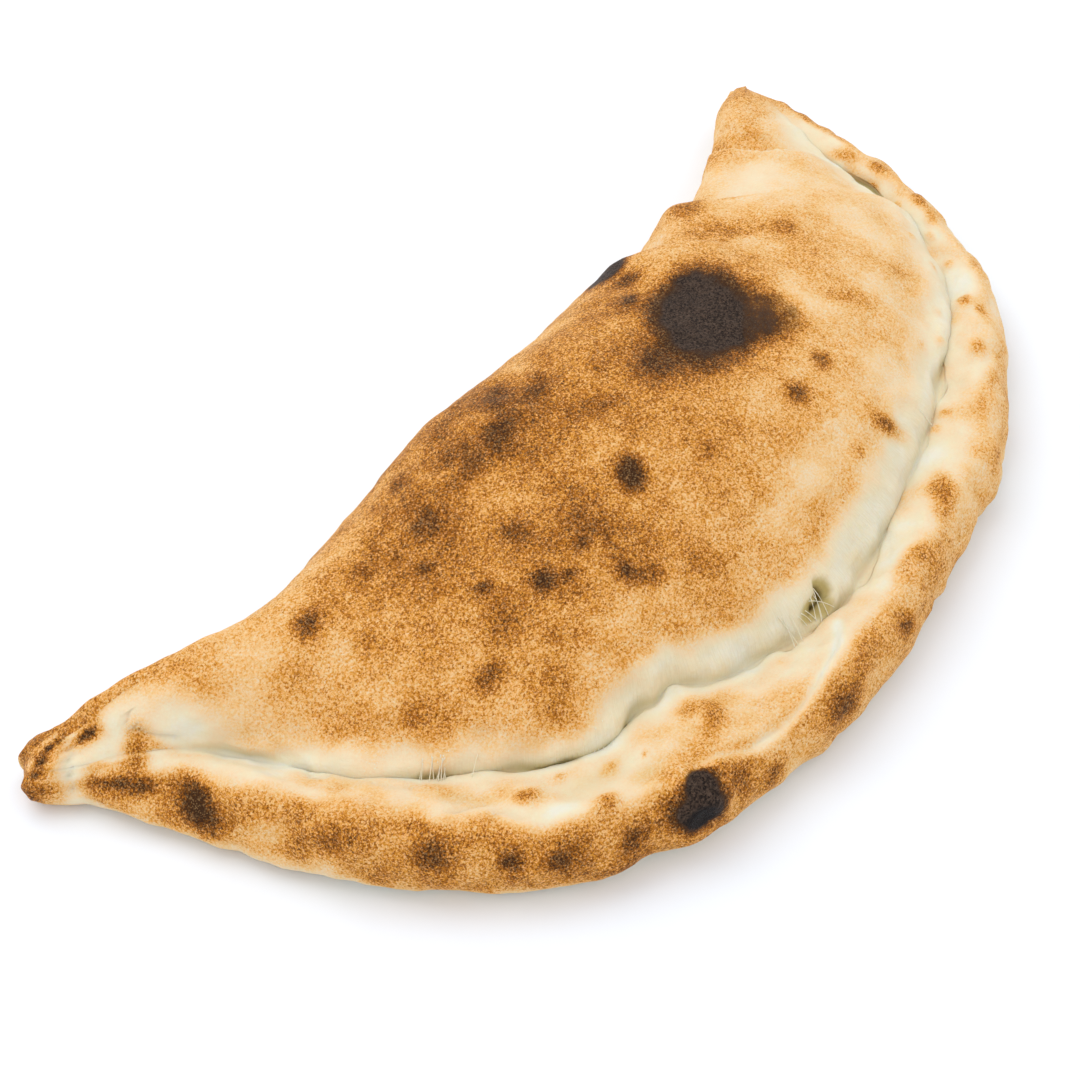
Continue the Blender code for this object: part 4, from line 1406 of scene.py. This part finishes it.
class CalzoneMakeCrust(bpy.types.Operator):
    """Make the crust: one closed surface with its seam, folds, blisters and spots"""

    bl_idname = "calzone.make_crust"
    bl_label = "Crust"
    bl_options = {"REGISTER", "UNDO"}

    def execute(self, context):
        grid, points = crust_surface()
        heat, torn = heat_of(grid)
        charred, gloss = char_of(grid)
        # Painted shade in the crack, the tear and the sunken raw places.
        crack = painted_crack_shade(grid)
        base = base_points(points)
        none = np.zeros(base.shape[:-1])
        attributes = {"baked": kept(heat, BASE_HEAT + clouds(base / MM, BASE_CLOUDS))}
        for label, values in (
            ("char", charred), ("torn", torn), ("crack", crack), ("gloss", gloss),
            ("girth", grid.girth), ("climb", grid.climb),
        ):
            attributes[label] = kept(values, none)
        faces = crust_faces(*grid.v.shape)
        crust = mesh_object("crust", kept(points, base), faces, attributes)
        crust.data.materials.append(crust_finish(context.scene.calzone_crust))
        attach(crust, BODY)
        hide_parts(SOLID)
        return {"FINISHED"}


class CalzoneMakeStrands(bpy.types.Operator):
    """Make the thin strands of dough stretched across the seam"""

    bl_idname = "calzone.make_strands"
    bl_label = "Strands"
    bl_options = {"REGISTER", "UNDO"}

    def execute(self, context):
        look = context.scene.calzone_crust
        strands = mesh_object("strands", *strand_tubes(*crust_surface(), look.strand_radius))
        strands.data.materials.append(strand_finish(look))
        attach(strands, BODY)
        return {"FINISHED"}


class CalzoneMakeStage(bpy.types.Operator):
    """Make the floor, the light and the camera"""

    bl_idname = "calzone.make_stage"
    bl_label = "Stage"
    bl_options = {"REGISTER", "UNDO"}

    def execute(self, context):
        stage = context.scene.calzone_stage
        low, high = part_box(SOLID)
        half = stage.floor_size / 2
        corners = [(x * half, y * half, low.z) for x, y in ((-1, -1), (1, -1), (1, 1), (-1, 1))]
        floor = mesh_object("floor", corners, [(0, 1, 2, 3)])
        floor.data.materials.append(floor_finish(stage))
        self.light(context, stage, (low + high) / 2)
        self.camera(context, stage, low.z)
        context.scene.view_settings.view_transform = "Standard"
        return {"FINISHED"}

    def light(self, context, stage, middle):
        """An even white sky and one soft lamp."""
        world = bpy.data.worlds.new("studio")
        world.use_nodes = True
        sky = world.node_tree.nodes["Background"].inputs
        sky["Color"].default_value = (1, 1, 1, 1)
        sky["Strength"].default_value = stage.sky_strength
        context.scene.world = world
        lamp = bpy.data.lights.new("soft_lamp", "AREA")
        lamp.shape = "SQUARE"
        lamp.size = stage.lamp_size
        lamp.energy = stage.lamp_power
        holder = bpy.data.objects.new("soft_lamp", lamp)
        away = towards(stage.lamp_azimuth, stage.lamp_elevation)
        holder.location = middle + away * stage.lamp_distance
        holder.rotation_euler = facing(holder.location, middle)
        context.scene.collection.objects.link(holder)

    def camera(self, context, stage, floor_height):
        """A camera that looks down at the target."""
        data = bpy.data.cameras.new("camera")
        data.lens = stage.camera_lens
        data.sensor_width = SENSOR_WIDTH
        data.clip_start = CLIP_START
        camera = bpy.data.objects.new("camera", data)
        target = Vector(stage.camera_target) + Vector((0, 0, floor_height))
        away = towards(stage.camera_azimuth - math.pi / 2, stage.camera_elevation)
        camera.location = target + away * stage.camera_distance
        camera.rotation_euler = facing(camera.location, target)
        context.scene.collection.objects.link(camera)
        context.scene.camera = camera


class CalzonePanel(bpy.types.Panel):
    """Buttons and values of the calzone"""

    bl_idname = "VIEW3D_PT_calzone"
    bl_label = "Calzone"
    bl_space_type = "VIEW_3D"
    bl_region_type = "UI"
    bl_category = "Calzone"

    def draw(self, context):
        for group, makers in (
            (context.scene.calzone_crust, (CalzoneMakeCrust, CalzoneMakeStrands)),
            (context.scene.calzone_stage, (CalzoneMakeStage,)),
        ):
            box = self.layout.box()
            for name in group.__annotations__:
                box.prop(group, name)
            for maker in makers:
                box.operator(maker.bl_idname)


CLASSES = (
    CalzoneCrust, CalzoneStage, CalzoneMakeCrust, CalzoneMakeStrands, CalzoneMakeStage,
    CalzonePanel,
)


def register():
    for item in CLASSES:
        bpy.utils.register_class(item)
    bpy.types.Scene.calzone_crust = bpy.props.PointerProperty(type=CalzoneCrust)
    bpy.types.Scene.calzone_stage = bpy.props.PointerProperty(type=CalzoneStage)


def unregister():
    del bpy.types.Scene.calzone_stage
    del bpy.types.Scene.calzone_crust
    for item in reversed(CLASSES):
        bpy.utils.unregister_class(item)


def main():
    register()
    bpy.ops.calzone.make_crust()
    bpy.ops.calzone.make_strands()
    bpy.ops.calzone.make_stage()


if __name__ == "__main__":
    main()
